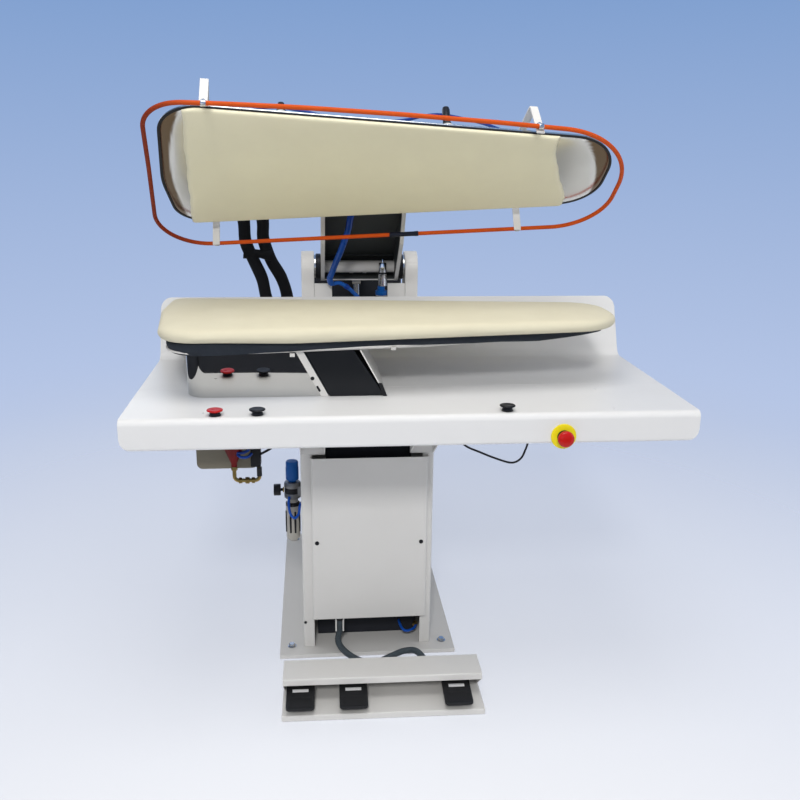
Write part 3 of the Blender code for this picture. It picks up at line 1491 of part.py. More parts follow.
def press_arm(pivot):
    """Two side plates joined by a web and the pivot tube, with a pair of slotted levers behind the pivot."""
    heel = (PIVOT_Y, PIVOT_Z + ARM_HEEL_HEIGHT)
    nose_y = PIVOT_Y - ARM_REACH
    climb = (ARM_CLIMB_Y, ARM_UNDERSIDE)
    plate_rear = rear_edge(0) - HEAD_PLATE_INSET
    seat_start = (plate_rear + ARM_BOSS_RADIUS, ARM_SEAT)
    nose_top = (nose_y, ARM_SEAT + ARM_NOSE_HEIGHT)
    rear_round = [
        (PIVOT_Y + ARM_BOSS_RADIUS * math.cos(angle), PIVOT_Z + ARM_BOSS_RADIUS * math.sin(angle))
        for angle in (math.pi / 2 - math.pi * step / HALF_ROUND for step in range(HALF_ROUND + 1))
    ]
    outline = [heel, *rear_round[1:], climb, seat_start, (nose_y, ARM_SEAT), nose_top]
    sides = []
    for name, side in (("left_arm_plate", -1), ("right_arm_plate", 1)):
        ends = sorted((TOWER_SHIFT + side * HALF_ARM, TOWER_SHIFT + side * (HALF_ARM - ARM_PLATE)))
        sides.append(prism(name, "white_paint", "x", outline, *ends))
    web_drop = ARM_WEB + EDGE_BREAK
    web_outline = (
        (heel[0], heel[1] - EDGE_BREAK),
        (nose_top[0] + EDGE_BREAK, nose_top[1] - EDGE_BREAK),
        (nose_top[0] + EDGE_BREAK, nose_top[1] - web_drop),
        (heel[0], heel[1] - web_drop),
    )
    inner = HALF_ARM - ARM_PLATE / 2
    web = prism("arm_web", "white_paint", "x", web_outline, TOWER_SHIFT - inner, TOWER_SHIFT + inner)
    back_outline = arc_plate(ARM_BOSS_RADIUS - EDGE_BREAK, ARM_WEB, ARM_BACK_START, ARM_BACK_END)
    back = prism("arm_back", "white_paint", "x", back_outline, TOWER_SHIFT - inner, TOWER_SHIFT + inner)
    tube_bar = rod_between(
        "arm_tube",
        "white_paint",
        (TOWER_SHIFT - inner, PIVOT_Y, PIVOT_Z),
        (TOWER_SHIFT + inner, PIVOT_Y, PIVOT_Z),
        ARM_TUBE_RADIUS,
        FINE_ROUND,
    )
    rise = math.tan(HEAD_SWING / 2)
    tip_reach = LEVER_REACH / math.cos(HEAD_SWING / 2)
    lever_along = Vector((1, rise)).normalized()
    tip = Vector((PIVOT_Y, PIVOT_Z)) + lever_along * tip_reach
    slot_near = Vector((PIVOT_Y, PIVOT_Z)) + lever_along * (LEVER_REACH - SLOT_CLEARANCE)
    slot_far = Vector((PIVOT_Y, PIVOT_Z)) + lever_along * (tip_reach + SLOT_CLEARANCE)
    lever_outline = capsule_outline((PIVOT_Y, PIVOT_Z), tip, LEVER_ROOT, LEVER_TIP)
    slot_outline = capsule_outline(slot_near, slot_far, PIN_RADIUS + SLOT_CLEARANCE, PIN_RADIUS + SLOT_CLEARANCE)
    near = EYE_WIDTH / 2 + RUNNING_GAP
    levers, slots = [], []
    for name, side in (("left_lever", -1), ("right_lever", 1)):
        ends = sorted((side * near, side * (near + LEVER_PLATE)))
        levers.append(prism(name, "white_paint", "x", lever_outline, *ends))
        slots.append(prism(f"{name}_slot", "white_paint", "x", slot_outline, ends[0] - OVERRUN, ends[1] + OVERRUN))
    bore = rod_between(
        "arm_bore",
        "white_paint",
        (TOWER_SHIFT - HALF_ARM - OVERRUN, PIVOT_Y, PIVOT_Z),
        (TOWER_SHIFT + HALF_ARM + OVERRUN, PIVOT_Y, PIVOT_Z),
        SHAFT_RADIUS + RUNNING_GAP,
        FINE_ROUND,
    )
    arm = sides[0]
    arm.name = "press_arm"
    fuse(arm, sides[1], web, back, tube_bar, *levers)
    cut(arm, *slots, bore)
    hang_on(pivot, PIVOT, arm, sides[1], web, back, tube_bar, *levers, *slots, bore)


def arc_plate(radius, thickness, start, end):
    """The outline of a plate bent about the pivot, from one angle to the other."""
    outer, inner = [], []
    for step in range(FULL_ROUND + 1):
        angle = start + (end - start) * step / FULL_ROUND
        along = Vector((math.cos(angle), math.sin(angle)))
        outer.append(tuple(Vector((PIVOT_Y, PIVOT_Z)) + along * radius))
        inner.append(tuple(Vector((PIVOT_Y, PIVOT_Z)) + along * (radius - thickness)))
    return outer + inner[::-1]


def head(pivot):
    """Heated shell, its cloth, the carrier plate, and the safety ring on four brackets."""
    # Inset and height from the face of the polished sole, as shares of the shell's height.
    shell_shares = (
        (0.62, 0.0),
        (0.22, 0.02),
        (0.06, 0.08),
        (0.0, 0.18),
        (0.08, 0.27),
        (0.40, 0.42),
        (1.55, 0.94),
        (1.75, 1.0),
    )
    shell_levels = [
        (inset * HEAD_SHELL_HEIGHT, SHELL_LOW + height * HEAD_SHELL_HEIGHT) for inset, height in shell_shares
    ]
    shell = loft("head_shell", "polished_steel", press_rings(shell_levels))
    # Inset and height from the pressing face, as shares of the pad's thickness.
    pad_shares = (
        (5.0, 0.0),
        (1.9, 0.06),
        (0.7, 0.25),
        (0.1, 0.62),
        (0.3, 1.0),
    )
    pad_levels = [
        (inset * HEAD_PAD_THICK, HEAD_FACE + height * HEAD_PAD_THICK) for inset, height in pad_shares
    ]
    pad = loft("head_pad", "cream_cloth", press_rings(pad_levels))
    low, high = HEAD_FACE - OVERRUN, SHELL_LOW + OVERRUN
    left, right = PRESS_LEFT - OVERRUN, PRESS_RIGHT + OVERRUN
    left_cut = (
        (left, HEAD_PAD_LEFT[1]),
        HEAD_PAD_LEFT,
        HEAD_PAD_LEFT_REAR,
        (left, HEAD_PAD_LEFT_REAR[1]),
    )
    right_cut = (
        HEAD_PAD_RIGHT,
        (right, HEAD_PAD_RIGHT[1]),
        (right, HEAD_PAD_RIGHT_REAR[1]),
        HEAD_PAD_RIGHT_REAR,
    )
    left_end = prism("pad_left_end", "cream_cloth", "z", left_cut, low, high)
    right_end = prism("pad_right_end", "cream_cloth", "z", right_cut, low, high)
    cut(pad, left_end, right_end)
    plate_levels = ((HEAD_PLATE_INSET, HEAD_PLATE_LOW), (HEAD_PLATE_INSET, HEAD_PLATE_HIGH))
    plate = loft("head_plate", "white_paint", press_rings(plate_levels))
    ribs = []
    rib_foot = HEAD_PLATE_HIGH - HEAD_PLATE_THICK / 2
    middle = (front_edge(0) + rear_edge(0)) / 2
    for name, side in (("left_rib", -1), ("right_rib", 1)):
        root = side * (HALF_ARM + HEAD_RIB_GAP)
        tip = root + side * HEAD_RIB_REACH
        rib_outline = (
            (root, rib_foot),
            (tip, rib_foot),
            (tip, HEAD_PLATE_HIGH + HEAD_RIB_THICK),
            (root, HEAD_PLATE_HIGH + HEAD_RIB_HEIGHT),
        )
        ribs.append(
            prism(
                name,
                "white_paint",
                "y",
                rib_outline,
                middle - HEAD_RIB_THICK / 2,
                middle + HEAD_RIB_THICK / 2,
            )
        )
    fuse(plate, *ribs)
    hang_on(pivot, PIVOT, shell, pad, left_end, right_end, plate, *ribs)
    ring_points = [(x, y, ring_height(y)) for x, y in even_loop(ring_plan(), RING_SPACING)]
    ring = tube("safety_ring", "orange_silicone", ring_points, RING_RADIUS, cyclic=True)
    hang_on(pivot, PIVOT, ring)
    for index, x in enumerate(FRONT_BRACKETS_X):
        name = f"front_ring_bracket_{index + 1}"
        ring_bracket(name, x, front_edge, -1, RING_FRONT_MARGIN, pivot)
    for index, x in enumerate(REAR_BRACKETS_X):
        name = f"rear_ring_bracket_{index + 1}"
        ring_bracket(name, x, rear_edge, 1, RING_REAR_MARGIN, pivot)


def ring_plan():
    """The ring's own outline: along the head's long edges, but with ends and corners of its own."""
    front_drop = RING_FRONT_MARGIN * math.hypot(1, FRONT_SLOPE)
    rear_drop = RING_REAR_MARGIN * math.hypot(1, REAR_SLOPE)
    corners = (
        (RING_LEFT_FRONT, front_edge(RING_LEFT_FRONT) - front_drop),
        (RING_RIGHT, front_edge(RING_RIGHT) - front_drop),
        (RING_RIGHT, rear_edge(RING_RIGHT) + rear_drop),
        (RING_LEFT_REAR, rear_edge(RING_LEFT_REAR) + rear_drop),
    )
    return filleted(corners, RING_CORNERS, CORNER_STEPS)


def ring_height(y):
    """The ring hangs a little lower behind the head than in front of it."""
    front, rear = front_edge(0) - RING_FRONT_MARGIN, rear_edge(0) + RING_REAR_MARGIN
    share = (y - front) / (rear - front)
    return HEAD_FACE - RING_FRONT_DROP - share * (RING_REAR_DROP - RING_FRONT_DROP)


def even_loop(outline, spacing):
    """Points about this far apart round a closed outline, with its straight runs kept straight."""
    corners = [Vector(point) for point in outline]
    points = []
    for index, start in enumerate(corners):
        end = corners[(index + 1) % len(corners)]
        count = max(1, round((end - start).length / spacing / 4))
        points += [tuple(start.lerp(end, step / count)) for step in range(count)]
    return points


def ring_bracket(name, x, edge, facing, margin, pivot):
    """A flat bar from the carrier plate out over the head's edge, and on down a lean to the ring's inner side."""
    slope = edge(1) - edge(0)
    normal = math.hypot(1, slope)
    inner = -(HEAD_PLATE_INSET + BRACKET_SEAT) * normal
    peak = Vector((BRACKET_PEAK * normal, HEAD_PLATE_HIGH + GAP + BRACKET_THICK))
    ring_y = edge(x) + facing * margin * normal
    to_ring = Vector((margin, ring_height(ring_y))) - peak
    aside = math.asin((RING_RADIUS + GAP) / to_ring.length)
    reach = to_ring.length * math.cos(aside) + BRACKET_TAIL
    lean = math.atan2(to_ring.y, to_ring.x) - aside
    foot = peak + Vector((math.cos(lean), math.sin(lean))) * reach
    path = (tuple(foot), tuple(peak), (inner, peak.y))
    outline = sheet_outline(path, (BRACKET_BEND,), BRACKET_THICK)
    spread = [(facing * across, height) for across, height in outline]
    bracket = prism(name, "white_paint", "x", spread, -BRACKET_WIDTH / 2, BRACKET_WIDTH / 2)
    bracket.parent = pivot
    bracket.location = Vector((x, edge(x), 0)) - PIVOT
    bracket.rotation_euler = (0, 0, math.atan(slope))


def head_fittings(pivot):
    """Two tees on the front flank of the shell, joined by one blue tube that dips between them."""
    for name, (x, height) in (("left_head_fitting", LEFT_FITTING), ("right_head_fitting", RIGHT_FITTING)):
        seat = flank_height(FITTING_INSET) + FITTING_SEAT_CLEARANCE
        hexagon = seat + FITTING_HEX_HEIGHT
        profile = (
            (0, seat),
            (FITTING_HEX_RADIUS, seat),
            (FITTING_HEX_RADIUS, hexagon),
            (FITTING_RADIUS, hexagon),
            (FITTING_RADIUS, seat + height - EDGE_BREAK),
            (FITTING_RADIUS - EDGE_BREAK, seat + height),
            (0, seat + height),
        )
        place = (x, front_edge(x) + FITTING_INSET, 0)
        fitting = turned(name, "black_plastic", profile, place, (0, 0, 1))
        hang_on(pivot, PIVOT, fitting)
    seat = flank_height(FITTING_INSET) + FITTING_SEAT_CLEARANCE
    behind = FITTING_INSET + FITTING_RADIUS + HEAD_TUBE_RADIUS + GAP
    # Sideways place, and height as a share of the way from the shell to the tee's top.
    tube_shares = (
        (LEFT_FITTING, -0.088, 0.20),
        (LEFT_FITTING, -0.050, 0.66),
        (LEFT_FITTING, 0.0, 0.86),
        (LEFT_FITTING, 0.066, 0.62),
        (LEFT_FITTING, 0.140, 0.10),
        (RIGHT_FITTING, -0.190, 0.06),
        (RIGHT_FITTING, -0.110, 0.30),
        (RIGHT_FITTING, -0.050, 0.64),
        (RIGHT_FITTING, 0.0, 0.74),
        (RIGHT_FITTING, 0.090, 0.50),
        (RIGHT_FITTING, 0.150, 0.18),
    )
    knots = [
        (tee[0] + aside, front_edge(tee[0] + aside) + behind, seat + HEAD_TUBE_RADIUS + share * tee[1])
        for tee, aside, share in tube_shares
    ]
    air = tube(
        "head_air_tube", "blue_tube", smooth_route(knots, 3 * HEAD_TUBE_RADIUS), HEAD_TUBE_RADIUS
    )
    hang_on(pivot, PIVOT, air)


def flank_height(inset):
    """Height of the shell's sloping back at this distance in from its edge."""
    low_inset, low_height = 0.40 * HEAD_SHELL_HEIGHT, 0.42 * HEAD_SHELL_HEIGHT
    high_inset, high_height = 1.55 * HEAD_SHELL_HEIGHT, 0.94 * HEAD_SHELL_HEIGHT
    share = (inset - low_inset) / (high_inset - low_inset)
    return SHELL_LOW + low_height + share * (high_height - low_height)


PIVOT = Vector((0, PIVOT_Y, PIVOT_Z))


def main():
    clear_scene()
    base_plate()
    column()
    column_top_plate()
    bearing_posts()
    cylinder()
    table()
    table_arms()
    buck()
    under_buck()
    push_buttons()
    emergency_stop()
    under_table_fittings()
    regulator()
    pedal_unit()
    cords_and_hoses()
    steam_hoses()
    pivot = empty("head_pivot", PIVOT, (-HEAD_SWING, 0, 0))
    press_arm(pivot)
    head(pivot)
    head_fittings(pivot)


main()
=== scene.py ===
"""Looks of an upright pneumatic ironing press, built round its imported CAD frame.

The CAD solids carry the sizes and the joints. This script dresses the sheet metal, replaces the soft, wound and
moulded pieces by finer ones in the same places, and sets a pale floor, soft studio light and the photograph's camera.
All lengths are metres in the row frame: +X to the operator's right, +Y to the back, +Z up.
"""

import json
import logging
import math
from collections.abc import Iterable, Sequence
from dataclasses import dataclass, field
from enum import Enum

import bmesh
import bpy
import numpy as np
from mathutils import Matrix, Vector

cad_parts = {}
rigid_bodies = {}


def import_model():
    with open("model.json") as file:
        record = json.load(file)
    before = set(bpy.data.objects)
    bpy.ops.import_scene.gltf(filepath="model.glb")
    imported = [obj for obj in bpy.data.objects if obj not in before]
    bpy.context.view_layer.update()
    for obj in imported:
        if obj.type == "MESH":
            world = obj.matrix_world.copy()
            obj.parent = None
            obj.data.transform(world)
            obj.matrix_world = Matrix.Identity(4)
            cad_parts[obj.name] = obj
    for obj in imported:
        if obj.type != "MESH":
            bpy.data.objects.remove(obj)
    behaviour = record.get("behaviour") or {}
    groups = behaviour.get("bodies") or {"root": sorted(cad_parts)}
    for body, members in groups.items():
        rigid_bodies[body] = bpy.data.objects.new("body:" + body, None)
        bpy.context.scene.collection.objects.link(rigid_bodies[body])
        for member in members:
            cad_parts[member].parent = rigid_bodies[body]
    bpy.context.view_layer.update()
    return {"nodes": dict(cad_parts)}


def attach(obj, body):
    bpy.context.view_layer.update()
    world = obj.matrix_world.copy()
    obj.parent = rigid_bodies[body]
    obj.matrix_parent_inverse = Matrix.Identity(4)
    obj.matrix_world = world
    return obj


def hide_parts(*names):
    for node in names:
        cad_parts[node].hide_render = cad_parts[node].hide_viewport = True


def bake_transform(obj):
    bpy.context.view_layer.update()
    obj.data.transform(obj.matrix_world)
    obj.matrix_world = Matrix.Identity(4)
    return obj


LOG = logging.getLogger("ironing_press")

Array = np.ndarray
Pair = tuple[float, float]
Triple = tuple[float, float, float]
Profile = tuple[Pair, ...]
Route = tuple[Triple, ...]

# The head's pivot, its swing from open to closed, and the table's height
PIVOT = np.array((0.0, 0.131, 1.088))
SWING = math.radians(36.5)
TABLE_TOP = 0.856


class Body(str, Enum):
    """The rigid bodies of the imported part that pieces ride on."""

    FRAME = "frame"
    HEAD = "head"
    RED = "red_button"
    LEFT_BLACK = "left_black_button"
    RIGHT_BLACK = "right_black_button"
    STOP = "stop_button"
    LEFT_PEDAL = "left_pedal"
    MIDDLE_PEDAL = "middle_pedal"
    RIGHT_PEDAL = "right_pedal"
    REGULATOR = "regulator_knob"
    SIDE = "side_knob"


# Geometry


@dataclass
class Geometry:
    """A polygon mesh as plain arrays, with optional named values on its vertices.

    Attributes:
        verts: Vertex positions, one row each.
        faces: Vertex numbers of each polygon.
        values: Named per-vertex numbers, such as a seam mask.
    """

    verts: Array
    faces: list[tuple[int, ...]]
    values: dict[str, Array] = field(default_factory=dict)

    def moved(self, matrix: Matrix) -> "Geometry":
        """Returns a copy under an affine matrix.

        Args:
            matrix: A 4 x 4 matrix in the row frame.

        Returns:
            The transformed geometry.
        """
        m = np.array(matrix, float)
        return Geometry(self.verts @ m[:3, :3].T + m[:3, 3], self.faces, self.values)

    @staticmethod
    def merged(parts: Iterable["Geometry"]) -> "Geometry":
        """Joins several geometries into one without welding them.

        Args:
            parts: What is joined. Their named values are dropped.

        Returns:
            One geometry with all their faces.
        """
        verts, faces, count = [], [], 0
        for part in parts:
            verts.append(part.verts)
            faces += [tuple(index + count for index in face) for face in part.faces]
            count += len(part.verts)
        return Geometry(np.vstack(verts), faces)


def opened(points: Array) -> Array:
    """Swings points of the closed head back to the open rest position.

    The rotation by the swing angle a about the pivot's X axis is
    y' = cos(a) y + sin(a) z, z' = -sin(a) y + cos(a) z, measured from the pivot.

    Args:
        points: One point, or one in each row.

    Returns:
        The turned points.
    """
    c, s = math.cos(-SWING), math.sin(-SWING)
    turn = np.array(((1, 0, 0), (0, c, -s), (0, s, c)))
    return (np.asarray(points, float) - PIVOT) @ turn.T + PIVOT


def opened_matrix() -> Matrix:
    """The same swing as a 4 x 4 matrix."""
    shift = Matrix.Translation(Vector(PIVOT))
    return shift @ Matrix.Rotation(-SWING, 4, "X") @ shift.inverted()


def smooth_route(knots: Sequence[Sequence[float]], spacing: float, closed: bool = False) -> Array:
    """Samples the uniform Catmull-Rom curve through the knots at an even spacing.

    Between knots P1 and P2 the curve is
    C(t) = (2 P1 + (P2 - P0) t + (2 P0 - 5 P1 + 4 P2 - P3) t^2 + (3 P1 - P0 - 3 P2 + P3) t^3) / 2.

    Args:
        knots: Points that the curve passes through.
        spacing: Wanted distance between samples.
        closed: Whether the curve returns to its start.

    Returns:
        The samples, one row each. A closed curve's first sample isn't repeated.
    """
    p = np.asarray(knots, float)
    ends = np.vstack((p[-1], p, p[:2])) if closed else np.vstack((2 * p[0] - p[1], p, 2 * p[-1] - p[-2]))
    t = np.linspace(0, 1, 25)[:-1, None]
    dense = []
    for index in range(len(ends) - 3):
        a, b, c, d = ends[index : index + 4]
        dense.append(0.5 * (2 * b + (c - a) * t + (2 * a - 5 * b + 4 * c - d) * t**2 + (3 * b - a - 3 * c + d) * t**3))
    dense.append(ends[-2][None])
    line = np.vstack(dense)
    lengths = np.concatenate(((0,), np.cumsum(np.linalg.norm(np.diff(line, axis=0), axis=1))))
    count = max(2, round(lengths[-1] / spacing))
    wanted = np.linspace(0, lengths[-1], count + 1)
    route = np.column_stack([np.interp(wanted, lengths, line[:, k]) for k in range(3)])
    return route[:-1] if closed else route


def frames_along(path: Array, closed: bool = False) -> tuple[Array, Array, Array]:
    """Tangents and two normals along a path, carried on by parallel transport.

    Args:
        path: Points of the centreline.
        closed: Whether the last point joins the first.

    Returns:
        Unit tangents, first normals and second normals.
    """
    if closed:
        tangents = np.roll(path, -1, axis=0) - np.roll(path, 1, axis=0)
    else:
        tangents = np.gradient(path, axis=0)
    tangents /= np.linalg.norm(tangents, axis=1)[:, None]
    start = np.eye(3)[np.argmin(np.abs(tangents[0]))]
    normal = np.cross(tangents[0], start)
    normals = []
    for tangent in tangents:
        normal = normal - tangent * (normal @ tangent)
        normal /= np.linalg.norm(normal)
        normals.append(normal)
    normals = np.array(normals)
    if closed:
        spare = math.atan2(np.cross(normals[-1], normals[0]) @ tangents[0], normals[-1] @ normals[0])
        turns = np.linspace(0, spare, len(path))
        other = np.cross(tangents, normals)
        normals = normals * np.cos(turns)[:, None] + other * np.sin(turns)[:, None]
    return tangents, normals, np.cross(tangents, normals)


def sweep(path: Array, radius: float | Array, sides: int = 16, closed: bool = False) -> Geometry:
    """A round tube: x(s, a) = C(s) + r(s) (cos a N(s) + sin a B(s)).

    Args:
        path: Points of the centreline C.
        radius: One radius, or one for each point.
        sides: Vertices round the tube.
        closed: Whether the tube closes on itself. An open one gets caps.

    Returns:
        The tube's mesh.
    """
    _, normals, others = frames_along(path, closed)
    angle = np.linspace(0, math.tau, sides, endpoint=False)
    radii = np.broadcast_to(np.asarray(radius, float), (len(path),))[:, None, None]
    ring = normals[:, None] * np.cos(angle)[None, :, None] + others[:, None] * np.sin(angle)[None, :, None]
    verts = (path[:, None] + radii * ring).reshape(-1, 3)
    return Geometry(verts, wrapped_faces(len(path), sides, closed, caps=not closed))


def wrapped_faces(rows: int, columns: int, closed: bool, caps: bool) -> list[tuple[int, ...]]:
    """Quads of a grid whose columns wrap round.

    Args:
        rows: Number of rings.
        columns: Vertices of each ring.
        closed: Whether the last ring joins the first.
        caps: Whether the first and the last ring are filled.

    Returns:
        The vertex numbers of each face.
    """
    faces = []
    for row in range(rows if closed else rows - 1):
        here, there = row * columns, (row + 1) % rows * columns
        for column in range(columns):
            after = (column + 1) % columns
            faces.append((here + column, here + after, there + after, there + column))
    if caps:
        faces.append(tuple(reversed(range(columns))))
        faces.append(tuple(range((rows - 1) * columns, rows * columns)))
    return faces


def level(outline: Array, height: float | Array) -> Array:
    """A plane outline lifted to one height, or to a height for each point."""
    return np.column_stack((outline, np.broadcast_to(height, len(outline))))


def ramp(values: Array, start: float, width: float) -> Array:
    """0 at start, 1 at start + width and straight between, held beyond both. The width may be negative."""
    return np.clip((values - start) / width, 0, 1)


def loft(rings: Sequence[Array]) -> Geometry:
    """Closed rings of equal count joined one to the next, the first and the last filled."""
    return Geometry(np.vstack(rings), wrapped_faces(len(rings), len(rings[0]), closed=False, caps=True))


def lathe(
    profile: Sequence[Pair],
    centre: Sequence[float] = (0, 0, 0),
    axis: Sequence[float] = (0, 0, 1),
    steps: int = 32,
) -> Geometry:
    """A solid of revolution: (r, h) turned to (r cos a, r sin a, h), then stood on its axis.

    Args:
        profile: Radius and height pairs, from one end of the axis to the other.
        centre: Where height 0 stands.
        axis: Direction of growing height.
        steps: Vertices round the axis.

    Returns:
        The turned mesh, closed at both ends.
    """
    angle = np.linspace(0, math.tau, steps, endpoint=False)
    around = np.column_stack((np.cos(angle), np.sin(angle)))
    rings = [level(max(radius, 1e-5) * around, height) for radius, height in profile]
    turn = Vector((0, 0, 1)).rotation_difference(Vector(axis)).to_matrix().to_4x4()
    return loft(rings).moved(Matrix.Translation(Vector(centre)) @ turn)


def rod(
    radius: float,
    low: float,
    high: float,
    centre: Sequence[float] = (0, 0, 0),
    axis: Sequence[float] = (0, 0, 1),
    steps: int = 32,
) -> Geometry:
    """A plain round rod from low to high along its axis."""
    return lathe(((0, low), (radius, low), (radius, high), (0, high)), centre, axis, steps)


def extruded(outline: Sequence[Pair] | Array, axis: str, low: float, high: float) -> Geometry:
    """An outline drawn across an axis, extruded along it.

    Args:
        outline: The outline's points, in the order of the two other axes.
        axis: The letter of the axis.
        low: Where it starts along the axis.
        high: Where it ends.

    Returns:
        The prism, closed at both ends.
    """
    order = {"x": (2, 0, 1), "y": (0, 2, 1), "z": (0, 1, 2)}[axis]
    return loft([level(np.asarray(outline, float), depth)[:, order] for depth in (low, high)])


def rectangle(left: float, near: float, right: float, far: float) -> Profile:
    """The corners of a plane rectangle, anticlockwise."""
    return (left, near), (right, near), (right, far), (left, far)


def box(low: Sequence[float], high: Sequence[float]) -> Geometry:
    """A plain box between two corners."""
    return extruded(rectangle(low[0], low[1], high[0], high[1]), "z", low[2], high[2])


def rounded(corners: Sequence[Sequence[float]], radii: Sequence[float], steps: int = 10, runs: int = 1) -> Array:
    """A closed plane outline with arcs at its corners and evenly divided straight runs.

    Args:
        corners: Corner points in order.
        radii: One arc radius for each corner.
        steps: Divisions of each arc.
        runs: Divisions of each straight run.

    Returns:
        The outline's points. The count depends on steps and runs only, so outlines can be lofted.
    """
    arcs = []
    count = len(corners)
    for index, corner in enumerate(corners):
        here = Vector(corner)
        before = (Vector(corners[index - 1]) - here).normalized()
        after = (Vector(corners[(index + 1) % count]) - here).normalized()
        half = before.angle(after) / 2
        radius = max(radii[index], 1e-4)
        centre = here + (before + after).normalized() * (radius / math.sin(half))
        start = here + before * (radius / math.tan(half)) - centre
        end = here + after * (radius / math.tan(half)) - centre
        turn = start.angle(end)
        share = np.linspace(0, 1, steps + 1)[:, None]
        arc = np.array(start) * np.sin((1 - share) * turn) + np.array(end) * np.sin(share * turn)
        arcs.append(np.array(centre) + arc / math.sin(turn))
    points = []
    for index, arc in enumerate(arcs):
        points.append(arc)
        if runs > 1:
            share = np.linspace(0, 1, runs + 1)[1:-1, None]
            following = arcs[(index + 1) % count][0]
            points.append(arc[-1] * (1 - share) + following * share)
    return np.vstack(points)


def hexagon(across: float, height: float, centre: Sequence[float], axis: Sequence[float]) -> Geometry:
    """A hexagon head with a chamfered top, standing on its centre along the axis."""
    r = across / math.sqrt(3)
    return lathe(((r * 0.96, 0), (r, height * 0.12), (r, height * 0.78), (r * 0.84, height)), centre, axis, 6)


# Finishes


CHANNEL_SHADE_MASK = "channel"

# The arm's channel, measured from the pivot with the head closed. Its dark grey is painted shade over the web's grey
# paint.
WEB_UNDERSIDE = 0.0454
ARC_FACES = (0.0405, 0.0475)
CHANNEL_MIDDLE, CHANNEL_HALF = 0.0035, 0.1132
TUBE_OUTSIDE = 0.0235


class Texture(str, Enum):
    """The pattern that a finish adds to its mottling and fine relief."""

    PLAIN = "plain"
    BRUSHED = "brushed"
    CLOTH = "cloth"
    BRAID = "braid"


@dataclass(frozen=True)
class Finish:
    """How one surface looks.

    Attributes:
        name, slot: Name of the Blender material, and the record's material slot that it stands for; slot is not used.
        colour, roughness: Linear base colour and middle roughness.
        texture: Which pattern is added.
        metallic: 0 for paint and plastic, 1 for bare metal.
        coat, sheen: Weights of a clear coat and of the fibre sheen.
        second: Colour that the mottling or a mask mixes towards.
        mottle, scale: How far the mottling goes towards the second colour, and its patches per metre.
        bump, grain: Depth of the fine relief in metres, and its scale per metre.
        mask: Name of a vertex value, or of the channel's painted shade mask, that mixes to the second colour.
        specular: Level of the plain specular layer.
    """

    name: str
    slot: str
    colour: Triple
    roughness: float
    texture: Texture = Texture.PLAIN
    metallic: float = 0.0
    coat: float = 0.0
    sheen: float = 0.0
    second: Triple | None = None
    mottle: float = 0.25
    scale: float = 7.0
    bump: float = 0.0001
    grain: float = 900.0
    mask: str = ""
    specular: float = 0.22


class Nodes:
    """A thin builder over one node tree."""

    def __init__(self, tree: bpy.types.NodeTree) -> None:
        self.tree = tree

    def add(self, kind: str, **values: object) -> bpy.types.Node:
        """Adds a node.

        Args:
            kind: Blender's name for the node's type.
            values: Values of its sockets by name, and of its attributes where no socket has that name.

        Returns:
            The new node.
        """
        node = self.tree.nodes.new(kind)
        self.put(node, **values)
        return node

    def put(self, node: bpy.types.Node, **values: object) -> None:
        """Sets a node's sockets by name, and its attributes where no socket has that name."""
        for key, value in values.items():
            socket = node.inputs.get(key.replace("_", " "))
            if socket is not None:
                socket.default_value = value
            else:
                setattr(node, key, value)

    def wire(self, source: bpy.types.Node, output: str | int, target: bpy.types.Node, entry: str | int) -> None:
        """Joins an output of a node to an input of another."""
        self.link(source.outputs[output], target.inputs[entry])

    def link(self, source: bpy.types.NodeSocket, target: bpy.types.NodeSocket) -> None:
        """Joins an output to an input."""
        self.tree.links.new(source, target)

    def math(self, operation: str, *operands: "bpy.types.NodeSocket | float") -> bpy.types.NodeSocket:
        """Adds a Math node.

        Args:
            operation: What it works out.
            operands: Its inputs, sockets or plain numbers.

        Returns:
            Its output.
        """
        node = self.tree.nodes.new("ShaderNodeMath")
        node.operation = operation
        for socket, operand in zip(node.inputs, operands):
            if isinstance(operand, bpy.types.NodeSocket):
                self.link(operand, socket)
            else:
                socket.default_value = operand
        return node.outputs[0]


def new_group(
    name: str, inputs: dict[str, str], outputs: dict[str, str]
) -> tuple[Nodes, bpy.types.Node, bpy.types.Node]:
    """Makes an empty node group with its sockets.

    Args:
        name: Name of the group.
        inputs: Kind of each input by its name.
        outputs: Kind of each output by its name.

    Returns:
        A builder over the group, its input node and its output node.
    """
    group = bpy.data.node_groups.new(name, "ShaderNodeTree")
    for way, sockets in (("INPUT", inputs), ("OUTPUT", outputs)):
        for socket, kind in sockets.items():
            group.interface.new_socket(name=socket, in_out=way, socket_type=f"NodeSocket{kind}")
    n = Nodes(group)
    return n, n.add("NodeGroupInput"), n.add("NodeGroupOutput")


def relief_group() -> bpy.types.NodeTree:
    """The shared group that turns a fine noise into a bump normal.

    Returns:
        The group, made on its first use.
    """
    found = bpy.data.node_groups.get("fine_relief")
    if found:
        return found
    inputs = {"Vector": "Vector", "Grain": "Float", "Depth": "Float"}
    n, start, end = new_group("fine_relief", inputs, {"Normal": "Vector"})
    noise = n.add("ShaderNodeTexNoise", Detail=3.0, Roughness=0.55)
    bump = n.add("ShaderNodeBump", Strength=1.0)
    n.wire(start, "Vector", noise, "Vector")
    n.wire(start, "Grain", noise, "Scale")
    n.wire(noise, "Fac", bump, "Height")
    n.wire(start, "Depth", bump, "Distance")
    n.wire(bump, "Normal", end, "Normal")
    return n.tree


